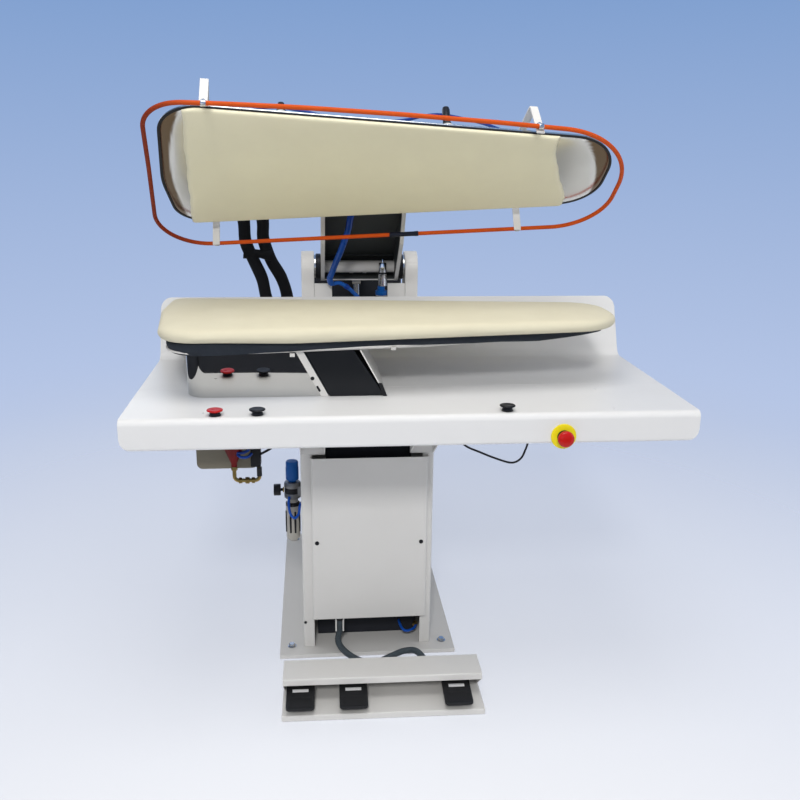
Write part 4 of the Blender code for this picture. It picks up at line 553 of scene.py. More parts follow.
def mottle_group() -> bpy.types.NodeTree:
    """The shared group that mixes two colours by a soft noise and spreads the roughness.

    Returns:
        The group, made on its first use.
    """
    found = bpy.data.node_groups.get("soft_mottle")
    if found:
        return found
    inputs = {
        "Vector": "Vector", "Scale": "Float", "First": "Color", "Second": "Color", "Amount": "Float",
        "Roughness": "Float",
    }
    n, start, end = new_group("soft_mottle", inputs, {"Color": "Color", "Roughness": "Float"})
    noise = n.add("ShaderNodeTexNoise", Detail=4.0, Roughness=0.6)
    ramp_up = n.add("ShaderNodeMapRange", From_Min=0.3, From_Max=0.7)
    mix = n.add("ShaderNodeMix", data_type="RGBA")
    spread = n.add("ShaderNodeMapRange", From_Min=0.3, From_Max=0.7, To_Min=0.88, To_Max=1.14)
    total = n.add("ShaderNodeMath", operation="MULTIPLY", use_clamp=True)
    n.wire(start, "Vector", noise, "Vector")
    n.wire(start, "Scale", noise, "Scale")
    n.wire(noise, "Fac", ramp_up, "Value")
    n.wire(noise, "Fac", spread, "Value")
    n.link(n.math("MULTIPLY", ramp_up.outputs["Result"], start.outputs["Amount"]), mix.inputs["Factor"])
    n.wire(start, "First", mix, 6)
    n.wire(start, "Second", mix, 7)
    n.wire(start, "Roughness", total, 0)
    n.wire(spread, "Result", total, 1)
    n.wire(mix, 2, end, "Color")
    n.wire(total, "Value", end, "Roughness")
    return n.tree


def weave_height(n: Nodes, vector: bpy.types.NodeSocket, pitch: float) -> bpy.types.NodeSocket:
    """Two crossed wave textures as the height of a plain weave, h = max(wave(x), wave(y)).

    Args:
        n: The material's nodes.
        vector: Where the textures read their place.
        pitch: Distance between threads.

    Returns:
        The height.
    """
    heights = []
    for direction in ("X", "Y"):
        wave = n.add(
            "ShaderNodeTexWave",
            bands_direction=direction,
            wave_profile="SIN",
            Scale=math.tau / (20 * pitch),
            Distortion=0.6,
            Detail=1.0,
            Detail_Scale=2.0,
        )
        n.link(vector, wave.inputs["Vector"])
        heights.append(wave.outputs["Fac"])
    return n.math("MAXIMUM", *heights)


def channel_shade_mask(n: Nodes, place: bpy.types.NodeSocket) -> bpy.types.NodeSocket:
    """1 inside the arm's channel and on its levers, 0 on its side plates, its tube and its back. The dark colour it
    mixes in is painted shade between the side plates, over the web's own grey paint.

    The position is turned back to the closed head about the pivot. With r its distance from the pivot's axis, the
    channel is r > tube, and before the pivot everything under the web, behind it the arc plate's inner face and all
    that lies outside the arc plate.

    Args:
        n: The material's nodes.
        place: The position on the piece.

    Returns:
        The mask.
    """
    centre = -(Matrix.Rotation(SWING, 3, "X") @ Vector(PIVOT))
    turn = n.add("ShaderNodeMapping", vector_type="POINT", Rotation=(SWING, 0, 0), Location=centre)
    n.link(place, turn.inputs["Vector"])
    split = n.add("ShaderNodeSeparateXYZ")
    n.wire(turn, "Vector", split, "Vector")
    x, y, z = (split.outputs[name] for name in "XYZ")
    reach = n.math("SQRT", n.math("ADD", n.math("MULTIPLY", y, y), n.math("MULTIPLY", z, z)))
    under = n.math("MULTIPLY", n.math("LESS_THAN", y, 0.0), n.math("LESS_THAN", z, WEB_UNDERSIDE))
    lever = n.math("MULTIPLY", n.math("GREATER_THAN", y, 0.0), n.math("GREATER_THAN", reach, ARC_FACES[1]))
    inside = n.math("MAXIMUM", n.math("MAXIMUM", under, lever), n.math("LESS_THAN", reach, ARC_FACES[0]))
    between = n.math("COMPARE", x, CHANNEL_MIDDLE, CHANNEL_HALF)
    return n.math("MULTIPLY", n.math("MULTIPLY", between, inside), n.math("GREATER_THAN", reach, TUBE_OUTSIDE))


def material(finish: Finish) -> bpy.types.Material:
    """Builds the Blender material of a finish, once.

    Args:
        finish: The look to build.

    Returns:
        The material, made on its first use and shared after that.
    """
    name = f"{finish.name}_finish"
    found = bpy.data.materials.get(name)
    if found:
        return found
    made = bpy.data.materials.new(name)
    made.use_nodes = True
    n = Nodes(made.node_tree)
    shader = made.node_tree.nodes["Principled BSDF"]
    n.put(shader, Metallic=finish.metallic, Specular_IOR_Level=finish.specular, Coat_Weight=finish.coat)
    n.put(shader, Coat_Roughness=0.12, Sheen_Weight=finish.sheen, Sheen_Roughness=0.5)
    place = n.add("ShaderNodeTexCoord").outputs["Object"]
    second = finish.second or tuple(0.8 * value for value in finish.colour)
    mottle = n.add("ShaderNodeGroup", node_tree=mottle_group(), Scale=finish.scale, Amount=finish.mottle)
    n.put(mottle, First=(*finish.colour, 1), Second=(*second, 1), Roughness=finish.roughness)
    relief = n.add("ShaderNodeGroup", node_tree=relief_group(), Grain=finish.grain, Depth=finish.bump)
    vector = place
    if finish.texture is Texture.BRUSHED:
        stretch = n.add("ShaderNodeMapping", vector_type="POINT", Scale=(0.04, 1.0, 1.0))
        n.link(place, stretch.inputs["Vector"])
        vector = stretch.outputs["Vector"]
    n.link(vector, mottle.inputs["Vector"])
    n.link(vector, relief.inputs["Vector"])
    colour = mottle.outputs["Color"]
    if finish.mask:
        if finish.mask == CHANNEL_SHADE_MASK:
            mask = channel_shade_mask(n, place)
        else:
            mask = n.add("ShaderNodeAttribute", attribute_name=finish.mask).outputs["Fac"]
        masked = n.add("ShaderNodeMix", data_type="RGBA")
        masked.inputs[7].default_value = (*second, 1)
        n.link(mask, masked.inputs["Factor"])
        n.link(colour, masked.inputs[6])
        colour = masked.outputs[2]
    normal = relief.outputs["Normal"]
    if finish.texture in (Texture.CLOTH, Texture.BRAID):
        pitch = 0.0009 if finish.texture is Texture.CLOTH else 0.0035
        height = weave_height(n, place, pitch)
        bump = n.add("ShaderNodeBump", Strength=0.35, Distance=pitch * 0.25)
        n.link(height, bump.inputs["Height"])
        n.link(normal, bump.inputs["Normal"])
        normal = bump.outputs["Normal"]
    n.link(colour, shader.inputs["Base Color"])
    n.wire(mottle, "Roughness", shader, "Roughness")
    n.link(normal, shader.inputs["Normal"])
    return made


WHITE = Finish("white_coating", "white_paint", (0.665, 0.655, 0.635), 0.42, second=(0.61, 0.6, 0.58), bump=0.00004)
# Near-black sheets set where the inside of the column and the tower lies in shadow: painted shade.
PAINTED_SHADE = Finish("painted_shade_sheet", "white_paint", (0.022, 0.024, 0.03), 0.6, second=(0.015, 0.015, 0.02))
# The arm's white coat with its channel darkened: the web's grey paint with painted shade between the side plates and
# on the levers.
ARM_WITH_CHANNEL_SHADE = Finish(
    "arm_coating_channel_shade", "white_paint", (0.665, 0.655, 0.635), 0.42, second=(0.048, 0.053, 0.053), mottle=0.03,
    bump=0.00004, mask=CHANNEL_SHADE_MASK,
)
TABLE = Finish(
    "table_coating", "table_paint", (0.7, 0.7, 0.7), 0.36, second=(0.66, 0.66, 0.665), bump=0.00002, grain=300.0,
)
CLOTH = Finish(
    "pressing_cloth", "cream_cloth", (0.655, 0.615, 0.47), 0.86, Texture.CLOTH, sheen=0.12,
    second=(0.6, 0.56, 0.425), mottle=0.5, scale=9.0, bump=0.00012, grain=500.0,
)
# The buck's cream cloth made brighter for the head: painted light for the head's face, which looks down and gets less
# light.
HEAD_CLOTH_PAINTED_LIGHT = Finish(
    "head_cloth_painted_light", "cream_cloth", (0.79, 0.755, 0.555), 0.86, Texture.CLOTH, sheen=0.12,
    second=(0.74, 0.7, 0.52), mottle=0.5, scale=9.0, bump=0.00012, grain=500.0,
)
FELT = Finish(
    "grey_felt", "grey_felt", (0.02, 0.025, 0.034), 0.95, sheen=0.03,
    second=(0.034, 0.04, 0.05), mottle=0.6, scale=60.0, bump=0.0006, grain=420.0,
)
POLISHED = Finish(
    "polished_steel", "polished_steel", (0.6, 0.59, 0.56), 0.035, metallic=1.0, specular=0.5,
    second=(0.55, 0.54, 0.51), bump=0.00002, grain=12.0,
)
# The sole's polished metal; its brown second colour, mixed in by the rim value at both ends, is a painted reflection
# in the curved flank.
SOLE_AND_REFLECTION = Finish(
    "polished_sole_painted_reflection", "polished_aluminium", (0.66, 0.66, 0.63), 0.2, metallic=1.0,
    specular=0.5, second=(0.13, 0.09, 0.052), mottle=0.03, bump=0.00003, grain=60.0, mask="rim",
)
CHROME = Finish("plain_chrome", "bright_steel", (0.7, 0.7, 0.69), 0.1, metallic=1.0, grain=80.0)
STEEL = Finish(
    "bright_steel", "bright_steel", (0.62, 0.61, 0.59), 0.24, Texture.BRUSHED, metallic=1.0, bump=0.00003,
)
BLACKENED = Finish("blackened_steel", "black_plastic", (0.02, 0.02, 0.022), 0.38, metallic=0.4)
BLACK = Finish("black_moulding", "black_plastic", (0.012, 0.012, 0.014), 0.36, bump=0.00005)
DUCT = Finish("black_duct", "black_plastic", (0.012, 0.013, 0.015), 0.3, bump=0.00006, grain=500.0)
RUBBER = Finish(
    "black_rubber", "black_rubber", (0.014, 0.014, 0.015), 0.55, second=(0.03, 0.03, 0.03),
)
SLEEVE = Finish(
    "hose_sleeve", "black_rubber", (0.0028, 0.0028, 0.0032), 0.8, Texture.BRAID, second=(0.008, 0.008, 0.009),
    mottle=0.5, scale=40.0, bump=0.0002,
)
RED = Finish("red_moulding", "red_plastic", (0.46, 0.007, 0.005), 0.28, coat=0.12)
DARK_RED = Finish("dark_red_moulding", "red_plastic", (0.12, 0.004, 0.005), 0.55)
YELLOW = Finish("yellow_moulding", "yellow_plastic", (0.8, 0.66, 0.01), 0.32, coat=0.2)
BLUE = Finish("blue_moulding", "blue_plastic", (0.004, 0.085, 0.33), 0.34)
TUBE = Finish("blue_tube", "blue_tube", (0.008, 0.085, 0.47), 0.26, coat=0.12)
DARK_TUBE = Finish("dark_blue_tube", "blue_tube", (0.006, 0.032, 0.2), 0.26, coat=0.12)
ARM_TUBE = Finish(
    "shaded_blue_tube", "blue_tube", (0.012, 0.1, 0.42), 0.26, coat=0.12, second=(0.004, 0.04, 0.26),
    mottle=0.1, mask="shade",
)
DARK_BLUE = Finish("dark_sleeve", "black_plastic", (0.01, 0.012, 0.022), 0.34, bump=0.00005)
ORANGE = Finish(
    "orange_sleeve", "orange_silicone", (0.56, 0.075, 0.006), 0.62, second=(0.12, 0.01, 0.003),
    mottle=0.12, scale=14.0, mask="shade",
)
CONDUIT = Finish(
    "grey_conduit", "grey_conduit", (0.06, 0.075, 0.085), 0.52, second=(0.085, 0.1, 0.115),
)
BRASS = Finish("plain_brass", "brass", (0.36, 0.25, 0.085), 0.34, metallic=1.0)
ZINC = Finish("cast_alloy", "zinc_grey", (0.22, 0.22, 0.22), 0.42, metallic=0.7, grain=700.0)
BOWL = Finish("smoked_bowl", "zinc_grey", (0.42, 0.4, 0.36), 0.22, coat=0.4, second=(0.3, 0.29, 0.26))
OLIVE = Finish("plated_sheet", "olive_steel", (0.21, 0.19, 0.145), 0.5, Texture.BRUSHED, metallic=0.35)
LABEL = Finish("bare_label", "bright_steel", (0.8, 0.8, 0.81), 0.4, Texture.BRUSHED, metallic=0.15)


# Pieces


def mesh_object(name: str, geometry: Geometry) -> bpy.types.Object:
    """Puts a geometry and its named values into a new mesh object.

    Args:
        name: Name of the object and its mesh.
        geometry: Its shape.

    Returns:
        The object, in the scene.
    """
    mesh = bpy.data.meshes.new(name)
    mesh.from_pydata(geometry.verts.tolist(), [], geometry.faces)
    for key, values in geometry.values.items():
        mesh.attributes.new(key, "FLOAT", "POINT").data.foreach_set("value", np.asarray(values, np.float32))
    obj = bpy.data.objects.new(name, mesh)
    bpy.context.scene.collection.objects.link(obj)
    return obj


@dataclass
class Workshop:
    """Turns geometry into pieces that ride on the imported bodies.

    Attributes:
        nodes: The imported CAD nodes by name.
        made: Names of the pieces, in the order of their making.
    """

    nodes: dict[str, bpy.types.Object]
    made: list[str] = field(default_factory=list)

    def piece(
        self,
        name: str,
        geometry: Geometry,
        finish: Finish,
        body: Body | None = Body.FRAME,
        replaces: Sequence[str] = (),
        sharp: float = 40.0,
        bevel: float = 0.0,
    ) -> bpy.types.Object:
        """Makes one mesh piece.

        Args:
            name: Unique piece name.
            geometry: Its shape in the row frame.
            finish: Its material.
            body: The body it rides on, or None to leave it on no body.
            replaces: CAD nodes that it stands for.
            sharp: Edges sharper than this many degrees stay hard.
            bevel: Width of the broken edges, or 0.

        Returns:
            The new object.
        """
        obj = mesh_object(name, geometry)
        mesh = obj.data
        bm = bmesh.new()
        bm.from_mesh(mesh)
        bmesh.ops.recalc_face_normals(bm, faces=bm.faces)
        bm.to_mesh(mesh)
        bm.free()
        mesh.shade_smooth()
        mesh.set_sharp_from_angle(angle=math.radians(sharp))
        mesh.materials.append(material(finish))
        if bevel:
            self.break_edges(obj, bevel)
        if body is not None:
            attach(obj, body.value)
        if replaces:
            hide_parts(*replaces)
        self.made.append(name)
        return obj

    def break_edges(self, obj: bpy.types.Object, width: float, segments: int = 2) -> None:
        """Adds live bevels along the hard edges of a piece or CAD node.

        Args:
            obj: The piece or node.
            width: Width of the bevels.
            segments: Faces across a bevel.
        """
        weld = obj.modifiers.new("welded_corners", "WELD")
        weld.merge_threshold = 0.00002
        bevel = obj.modifiers.new("broken_edges", "BEVEL")
        bevel.width = width
        bevel.segments = segments
        bevel.limit_method = "ANGLE"
        bevel.angle_limit = math.radians(35)
        bevel.harden_normals = False
        weighted = obj.modifiers.new("flat_faces", "WEIGHTED_NORMAL")
        weighted.keep_sharp = True

    def dress(self, finish: Finish, bevel: float, *nodes: str, segments: int = 2) -> None:
        """Gives CAD nodes their material and broken edges, and leaves their shape alone.

        Args:
            finish: The material.
            bevel: Width of the broken edges, or 0.
            nodes: Names of the nodes.
            segments: Faces across a bevel.
        """
        for node in nodes:
            obj = self.nodes[node]
            for held in obj.material_slots:
                held.material = material(finish)
            if bevel:
                self.break_edges(obj, bevel, segments)


# Plan of the press, shared by buck and head when closed
FRONT_AT_CENTRE, FRONT_SLOPE = -0.648, 0.0986
REAR_AT_CENTRE, REAR_SLOPE = -0.2335, 0.0931
PLAN_LEFT, PLAN_LEFT_Y = -0.5455, -0.385
PLAN_LEFT_FRONT, PLAN_LEFT_REAR = -0.509, -0.525
PLAN_RIGHT = 0.658
PLAN_CORNERS = (0.105, 0.145, 0.115, 0.08, 0.35)

# Top of the head plate in closed position
PLATE_HIGH = 1.1144


def front_edge(x: float | Array) -> float | Array:
    """Front edge of the plan at x, in closed position."""
    return FRONT_AT_CENTRE + FRONT_SLOPE * x


def rear_edge(x: float | Array) -> float | Array:
    """Rear edge of the plan at x, in closed position."""
    return REAR_AT_CENTRE - REAR_SLOPE * x


def plan_ring(
    inset: float,
    ends: float | None = None,
    steps: int = 14,
    runs: int = 24,
    radii: Sequence[float] = PLAN_CORNERS,
) -> Array:
    """The tapered plan outline, drawn in.

    Args:
        inset: Distance in from the long edges.
        ends: Distance in from the two ends, or None for the same.
        steps: Divisions of each corner's arc.
        runs: Divisions of each straight run.
        radii: Corner radii before the inset.

    Returns:
        The outline's points.
    """
    ends = inset if ends is None else ends
    front = inset * math.hypot(1, FRONT_SLOPE)
    rear = inset * math.hypot(1, REAR_SLOPE)
    left_front, left_rear, right = PLAN_LEFT_FRONT + ends, PLAN_LEFT_REAR + ends, PLAN_RIGHT - ends
    corners = (
        (left_front, front_edge(left_front) + front),
        (right, front_edge(right) + front),
        (right, rear_edge(right) - rear),
        (left_rear, rear_edge(left_rear) - rear),
        (PLAN_LEFT + ends, PLAN_LEFT_Y),
    )
    return rounded(corners, [max(radius - inset, 0.006) for radius in radii], steps, runs)


def profile_samples(points: Profile, count: int) -> Array:
    """An even resampling of the smooth curve through profile points.

    Args:
        points: The profile.
        count: Wanted number of steps.

    Returns:
        The samples, one row each.
    """
    knots = [(a, b, 0.0) for a, b in points]
    route = smooth_route(knots, 1e-5 + sum(math.dist(p, q) for p, q in zip(points, points[1:])) / count)
    return route[:, :2]


@dataclass
class Buck:
    """The padded buck on its polished pedestal and black duct.

    Attributes:
        shop: Where the pieces are made.
        top, thick: Height of the pad's crown, and its thickness.
        pad_side, pad_corners: Inset and height of the pad's side as shares of these, and corner radii of its plan.
        pad_middle, pad_ends, pad_push: Middle of the folds, and how far the ends and the rear left corner stand out.
        fold: Height share, half width, depth and finer depth of the folds along the side.
        felt_plan, felt_corners, felt_side: Corners of the felt, their radii, and inset and height share of its rings.
        felt_reach, felt_drop: Places along the felt, and how far it comes forward or hangs lower there.
        felt_half, felt_foot: Half of the felt's depth, and the height of its foot.
        panel_faces, panel_right: Left, front and rear faces of the pedestal, and its right edge at foot and head.
        panel_heights, panel_radius, panel_lean: Its foot and head, its round corners, and its face's lean forward.
        trim_lean, trim_face: Lean in degrees of the trim on the face, and the trim's outer face before that.
        clips: Places of the clips along the pan's front edge.
    """

    shop: Workshop
    top: float = 1.044
    thick: float = 0.04
    pad_side: Profile = (
        (0.5, 0.04), (0.34, -0.02), (0.2, 0.02), (0.09, 0.12), (0.02, 0.26), (0.0, 0.42), (0.04, 0.6),
        (0.14, 0.75), (0.3, 0.86), (0.6, 0.925), (1.1, 0.965), (1.8, 0.99), (2.6, 1.0),
    )
    pad_corners: tuple[float, ...] = (0.105, 0.145, 0.105, 0.042, 0.35)
    pad_middle: Pair = (0.06, -0.43)
    pad_ends: float = 0.008
    pad_push: float = 0.016
    fold: tuple[float, ...] = (0.32, 0.3, 0.0014, 0.0006)
    felt_plan: Profile = (
        (-0.515, -0.688), (0.16, -0.592), (0.655, -0.425), (0.655, -0.325), (0.16, -0.262), (-0.515, -0.196),
    )
    felt_corners: tuple[float, ...] = (0.09, 0.7, 0.045, 0.045, 0.7, 0.09)
    felt_side: Profile = ((0.001, 0.0), (-0.0012, 0.2), (-0.0016, 0.5), (-0.0008, 0.78), (0.0022, 1.0))
    felt_reach: Profile = ((0.07, 0), (0.33, 0.046), (0.437, 0.074), (0.563, 0.051), (0.639, 0.019), (0.655, 0))
    felt_drop: Profile = ((-0.45, 0.0085), (-0.35, 0.0085), (-0.2, 0.0055), (-0.02, 0))
    felt_half: float = 0.246
    felt_foot: float = 0.9847
    panel_faces: Triple = (-0.467, -0.614, -0.284)
    panel_right: Pair = (-0.111, -0.174)
    panel_heights: Pair = (TABLE_TOP + 0.0003, 0.9748)
    panel_radius: float = 0.05
    panel_lean: float = 0.0071
    trim_lean: float = 3.4
    trim_face: float = -0.6157
    clips: tuple[float, ...] = (-0.2006, 0.0515, 0.2747, 0.4354, 0.5231)

    def build(self) -> None:
        """Makes every piece of the buck."""
        self.cover()
        self.skirt()
        self.shop.dress(WHITE, 0.001, "buck_pan")
        self.pedestal()
        self.trim()
        self.pan_clips()

    def low(self, x: Array) -> Array:
        """Height of the pad's lower edge at x."""
        return self.top - self.thick + 0.0105 * x + 0.009 * ramp(x, -0.2, -0.2)

    def cover(self) -> None:
        """The pad: rings of the plan, bulging at the side and crowned on top.

        A ring at share s of the height has inset i(s); its height is z = low(x) + s (top - low(x)). Shallow folds
        are drawn into the side by d = a sin(2 pi x / w + phase) b(s), where b fades out on the top.
        """
        middle, width, deep, fine = self.fold
        rings = []
        for inset, share in profile_samples(self.pad_side, 40):
            inset *= self.thick
            flat = plan_ring(inset, inset - self.pad_ends, radii=self.pad_corners)
            flat[:, 0] -= self.pad_push * ramp(flat[:, 1], -0.42, 0.2) * ramp(flat[:, 0], -0.38, -0.12)
            x, y = flat.T
            low = self.low(x)
            wave = deep * np.sin(x * 52 + 2.2 * np.sin(x * 17)) + fine * np.sin(x * 131 + y * 90)
            wave *= np.clip(1 - abs(share - middle) / width, 0, 1) ** 2
            outward = (flat - self.pad_middle) * (0.25, 1)
            outward /= np.linalg.norm(outward, axis=1)[:, None]
            height = low + share * (self.top - low) + 0.5 * wave
            rings.append(level(flat + outward * wave[:, None], height))
        pad = self.shop.piece("buck_cover", loft(rings), CLOTH, replaces=["buck_pad"], sharp=80)

    def skirt(self) -> None:
        """The dark felt edge below the cover, set in a little and uneven along its foot.

        A ring is the plan shrunk about its middle. Its front edge comes forward by r(x), faded in over y, and its
        height is z = foot(x) + s (low(x) - foot(x)), with a faint wave at the foot.
        """
        plan = np.array(self.felt_plan)
        middle = np.mean(plan, axis=0)
        reach, drop = np.array(self.felt_reach).T, np.array(self.felt_drop).T
        rings = []
        for inset, share in self.felt_side:
            flat = rounded(middle + (plan - middle) * (1 - inset / self.felt_half), self.felt_corners, 12, 30)
            flat[:, 1] -= np.interp(flat[:, 0], *reach) * ramp(flat[:, 1], -0.36, -0.05)
            uneven = 0.0009 * np.sin(flat[:, 0] * 37 + flat[:, 1] * 50) * (1 - share)
            top = self.low(flat[:, 0]) - 0.0004
            flat[:, 0] += 0.008 * ramp(flat[:, 0], -0.35, -0.15)
            foot = self.felt_foot - np.interp(flat[:, 0], *drop) * (share < 0.1)
            rings.append(level(flat, foot + uneven * 0.3 + share * (top - foot)))
        self.shop.piece("buck_felt", loft(rings), FELT, replaces=["buck_skirt"], sharp=80)

    def pedestal(self) -> None:
        """The mirror-polished box with its round corners, and the leaning duct beside it.

        At share s of the height the right edge lies at foot + s (head - foot) and the face at front - s lean.
        """
        left, front, rear = self.panel_faces
        foot, head = self.panel_right
        low, high = self.panel_heights
        radii = (self.panel_radius, 0.0006, 0.0006, self.panel_radius)
        rings = []
        for height in (low, low + 0.001, high - 0.001, high):
            share = (height - low) / (high - low)
            right = foot + (head - foot) * share
            draw = 0.0008 if height in (low, high) else 0.0
            face = front - self.panel_lean * share + draw
            corners = ((left + draw, face), (right, face), (right, rear - draw), (left + draw, rear - draw))
            rings.append(level(rounded(corners, radii, 24, 2), height))
        self.shop.piece("pedestal_panel", loft(rings), POLISHED, replaces=["polished_pedestal"], sharp=30)
        self.shop.dress(DUCT, 0.0012, "suction_duct")

    def trim(self) -> None:
        """The duct's white edge and black tab, the strip, and a hole and slot drawn as flat black shapes of painted
        shade, all leaning with the panel's face.
        """
        foot, head = self.panel_right
        low, high = self.panel_heights
        front = self.panel_faces[1]
        flange = extruded(((0.0312, low), (0.035, low), (-0.03, high), (-0.0338, high)), "y", -0.619, -0.3)
        self.shop.piece("duct_flange", flange, WHITE, bevel=0.0006)
        lean = Matrix.Rotation(math.radians(self.trim_lean), 4, "X")
        lean = Matrix.Translation((0, front, low)) @ lean @ Matrix.Translation((0, -front, -low))
        outline = ((foot - 0.02, low), (foot - 0.0008, low), (head - 0.0008, high), (head - 0.02, high))
        strip = extruded(outline, "y", self.trim_face + 0.0001, self.trim_face + 0.0014)
        self.shop.piece("pedestal_edge_strip", strip.moved(lean), WHITE, bevel=0.0004)
        outline = ((0.0255, low), (0.036, low), (0.0225, low + 0.034), (0.013, low + 0.034))
        self.shop.piece("duct_tab", extruded(outline, "y", -0.6215, -0.6192), BLACK, bevel=0.0005)
        # A flat black disc and a flat black slot stand for a hole and a slot in the face: painted shade for their dark
        # insides.
        hole_shade = lathe(
            ((0, 0), (0.005, 0), (0.0046, 0.0008), (0, 0.0008)), (-0.1523, self.trim_face, 0.904), (0, -1, 0), 24
        )
        turn = Matrix.Translation((-0.1376, self.trim_face, 0.8766)) @ Matrix.Rotation(math.radians(-28), 4, "Y")
        slot = extruded(rounded(rectangle(-0.0028, -0.0085, 0.0028, 0.0085), (0.0026,) * 4, 6), "y", -0.0006, 0.0004)
        hole_shades = Geometry.merged((hole_shade, slot.moved(turn)))
        self.shop.piece("pedestal_hole_shades", hole_shades.moved(lean), BLACK, sharp=40)

    def pan_clips(self) -> None:
        """Small clips with a screw each, hooked over the pan's front edge between the felt's corners."""
        x_felt, y_felt = np.array(self.felt_plan[:3]).T
        clips = []
        for x in self.clips:
            edge = float(np.interp(x, x_felt, y_felt))
            z = 0.9752 + 0.004 * float(np.interp(x, (-0.2, 0.05), (-1.2, 0.5)))
            clips.append(box((x - 0.006, edge - 0.0062, z - 0.004), (x + 0.006, edge + 0.001, z + 0.0045)))
            screw = ((0, 0), (0.0032, 0), (0.0028, 0.0016), (0, 0.0018))
            clips.append(lathe(screw, (x, edge - 0.0062, z), (0, -1, 0), 16))
        self.shop.piece("pan_clips", Geometry.merged(clips), WHITE, bevel=0.0005)


@dataclass
class Head:
    """The head with its shell, cloth, ring and fittings, drawn closed and swung open.

    Attributes:
        shop: Where the pieces are made.
        shell_low, shell_height: Height of the shell's flat sole, and of the shell above it.
        shell_profile: Inset and height of the shell's outline, as shares of its height.
        cloth_left, cloth_right: The cloth's two ends at the front and at the rear edge.
        cloth_profile: Distance in from the plan's edge and height, from the wrapped edge to the flat sole.
        cloth_thick, cloth_rounds: Thickness of the cloth, and where its two left corners start to round off.
        painted_reflection_band: Place, belly and front and rear curvature of the edge of the painted brown reflection
            at each end.
        rim_profile: Inset and height of the black strip round the shell, once round its section.
        ring_margins, ring_heights: Distances of the ring in front of and behind the head, and its heights there.
        ring_ends, ring_corners: Left front, left rear and right ends of the ring, and its corner radii.
        ring_dips: Places along the front run, and how far the bent tube lies above its even height there.
        ring_radius, sleeve: Radius of the ring's tube, and the ends of its joint sleeve.
        brackets: Place of each bracket, and -1 for the front edge or 1 for the rear one.
        bracket_nodes: Their nodes.
        band_profile: Profile of the bands that hold the ring.
        bracket_peak, bracket_gap: Distance out and height of a bracket's bend, and its leg's distance from the ring.
        flank, tees: Inset of the fittings from the front edge, and name, place and height of each.
        tube_knots: For each tee, distances aside and shares of its height that the air tube passes.
        tube_radius: Radius of that tube.
    """

    shop: Workshop
    shell_low: float = 1.0538
    shell_height: float = 0.052
    shell_profile: Profile = (
        (3.0, 0.0), (1.6, 0.0), (0.8, 0.004), (0.5, 0.018), (0.26, 0.045), (0.1, 0.085), (0.02, 0.135),
        (0.0, 0.18), (0.02, 0.225), (0.1, 0.285), (0.4, 0.42), (1.0, 0.69), (1.5, 0.92), (1.62, 0.975),
        (1.75, 1.0), (1.9, 1.0),
    )
    cloth_left: Pair = (-0.4535, -0.4855)
    cloth_right: Pair = (0.484, 0.569)
    cloth_profile: Profile = (
        (0.0022, 1.056), (0.0022, 1.0535), (0.0026, 1.051), (0.004, 1.049), (0.0068, 1.0474),
        (0.011, 1.0467), (0.018, 1.0463), (0.04, 1.046),
    )
    cloth_thick: float = 0.0012
    cloth_rounds: Pair = (-0.404, -0.445)
    painted_reflection_band: tuple[tuple[float, ...], ...] = ((-0.513, -0.4, 0.71, 0.48), (0.634, -0.36, -1.5, -1.2))
    rim_profile: Profile = (
        (0.0052, 1.0566), (-0.0004, 1.0568), (-0.001, 1.0574), (-0.001, 1.0596), (-0.0004, 1.0602), (0.002, 1.0604),
        (0.0058, 1.0575),
    )
    ring_margins: Pair = (0.06, 0.05)
    ring_ends: Triple = (-0.532, -0.592, 0.683)
    ring_corners: tuple[float, ...] = (0.095, 0.225, 0.155, 0.135)
    ring_heights: Pair = (1.028, 1.012)
    ring_dips: Profile = (
        (-0.53, -0.012), (-0.455, -0.012), (-0.353, -0.006), (-0.172, 0.002), (0.07, 0.006), (0.31, 0.006),
        (0.5, 0.003), (0.66, 0.0),
    )
    ring_radius: float = 0.0057
    sleeve: Pair = (0.076, 0.16)
    brackets: Profile = ((-0.398, -1), (0.411, -1), (-0.428, 1), (0.442, 1))
    bracket_nodes: tuple[str, ...] = (
        "front_ring_bracket_1", "front_ring_bracket_2", "rear_ring_bracket_1", "rear_ring_bracket_2",
    )
    band_profile: Profile = (
        (0.0063, -0.006), (0.0075, -0.006), (0.0079, -0.0052), (0.0079, 0.0052), (0.0075, 0.006), (0.0063, 0.006),
    )
    bracket_peak: Pair = (0.03, 1.1184)
    bracket_gap: float = 0.0065
    flank: float = 0.052
    tees: tuple[tuple[str, float, float], ...] = (
        ("left_head_fitting", -0.22, 0.031),
        ("right_head_fitting", 0.2, 0.059),
    )
    tube_knots: tuple[Profile, ...] = (
        ((-0.088, 0.2), (-0.05, 0.66), (0.0, 0.86), (0.066, 0.62), (0.14, 0.1)),
        ((-0.19, 0.06), (-0.11, 0.3), (-0.05, 0.64), (0.0, 0.74), (0.09, 0.5), (0.15, 0.18)),
    )
    tube_radius: float = 0.004

    def build(self) -> None:
        """Makes every piece of the head."""
        self.shell()
        self.cloth()
        self.rim()
        self.ring()
        self.shop.dress(WHITE, 0.0008, *self.bracket_nodes)
        self.shop.dress(WHITE, 0.001, "head_plate")
        self.clips()
        self.fittings()

    def add(self, name: str, closed: Geometry, finish: Finish, *nodes: str, sharp: float = 40.0) -> bpy.types.Object:
        """Makes a piece of the head from its shape in closed position.

        Args:
            name: Unique piece name.
            closed: Its shape with the head closed.
            finish: Its material.
            nodes: CAD nodes that it stands for.
            sharp: Edges sharper than this many degrees stay hard.

        Returns:
            The new object, in open position.
        """
        return self.shop.piece(name, closed.moved(opened_matrix()), finish, Body.HEAD, nodes, sharp)

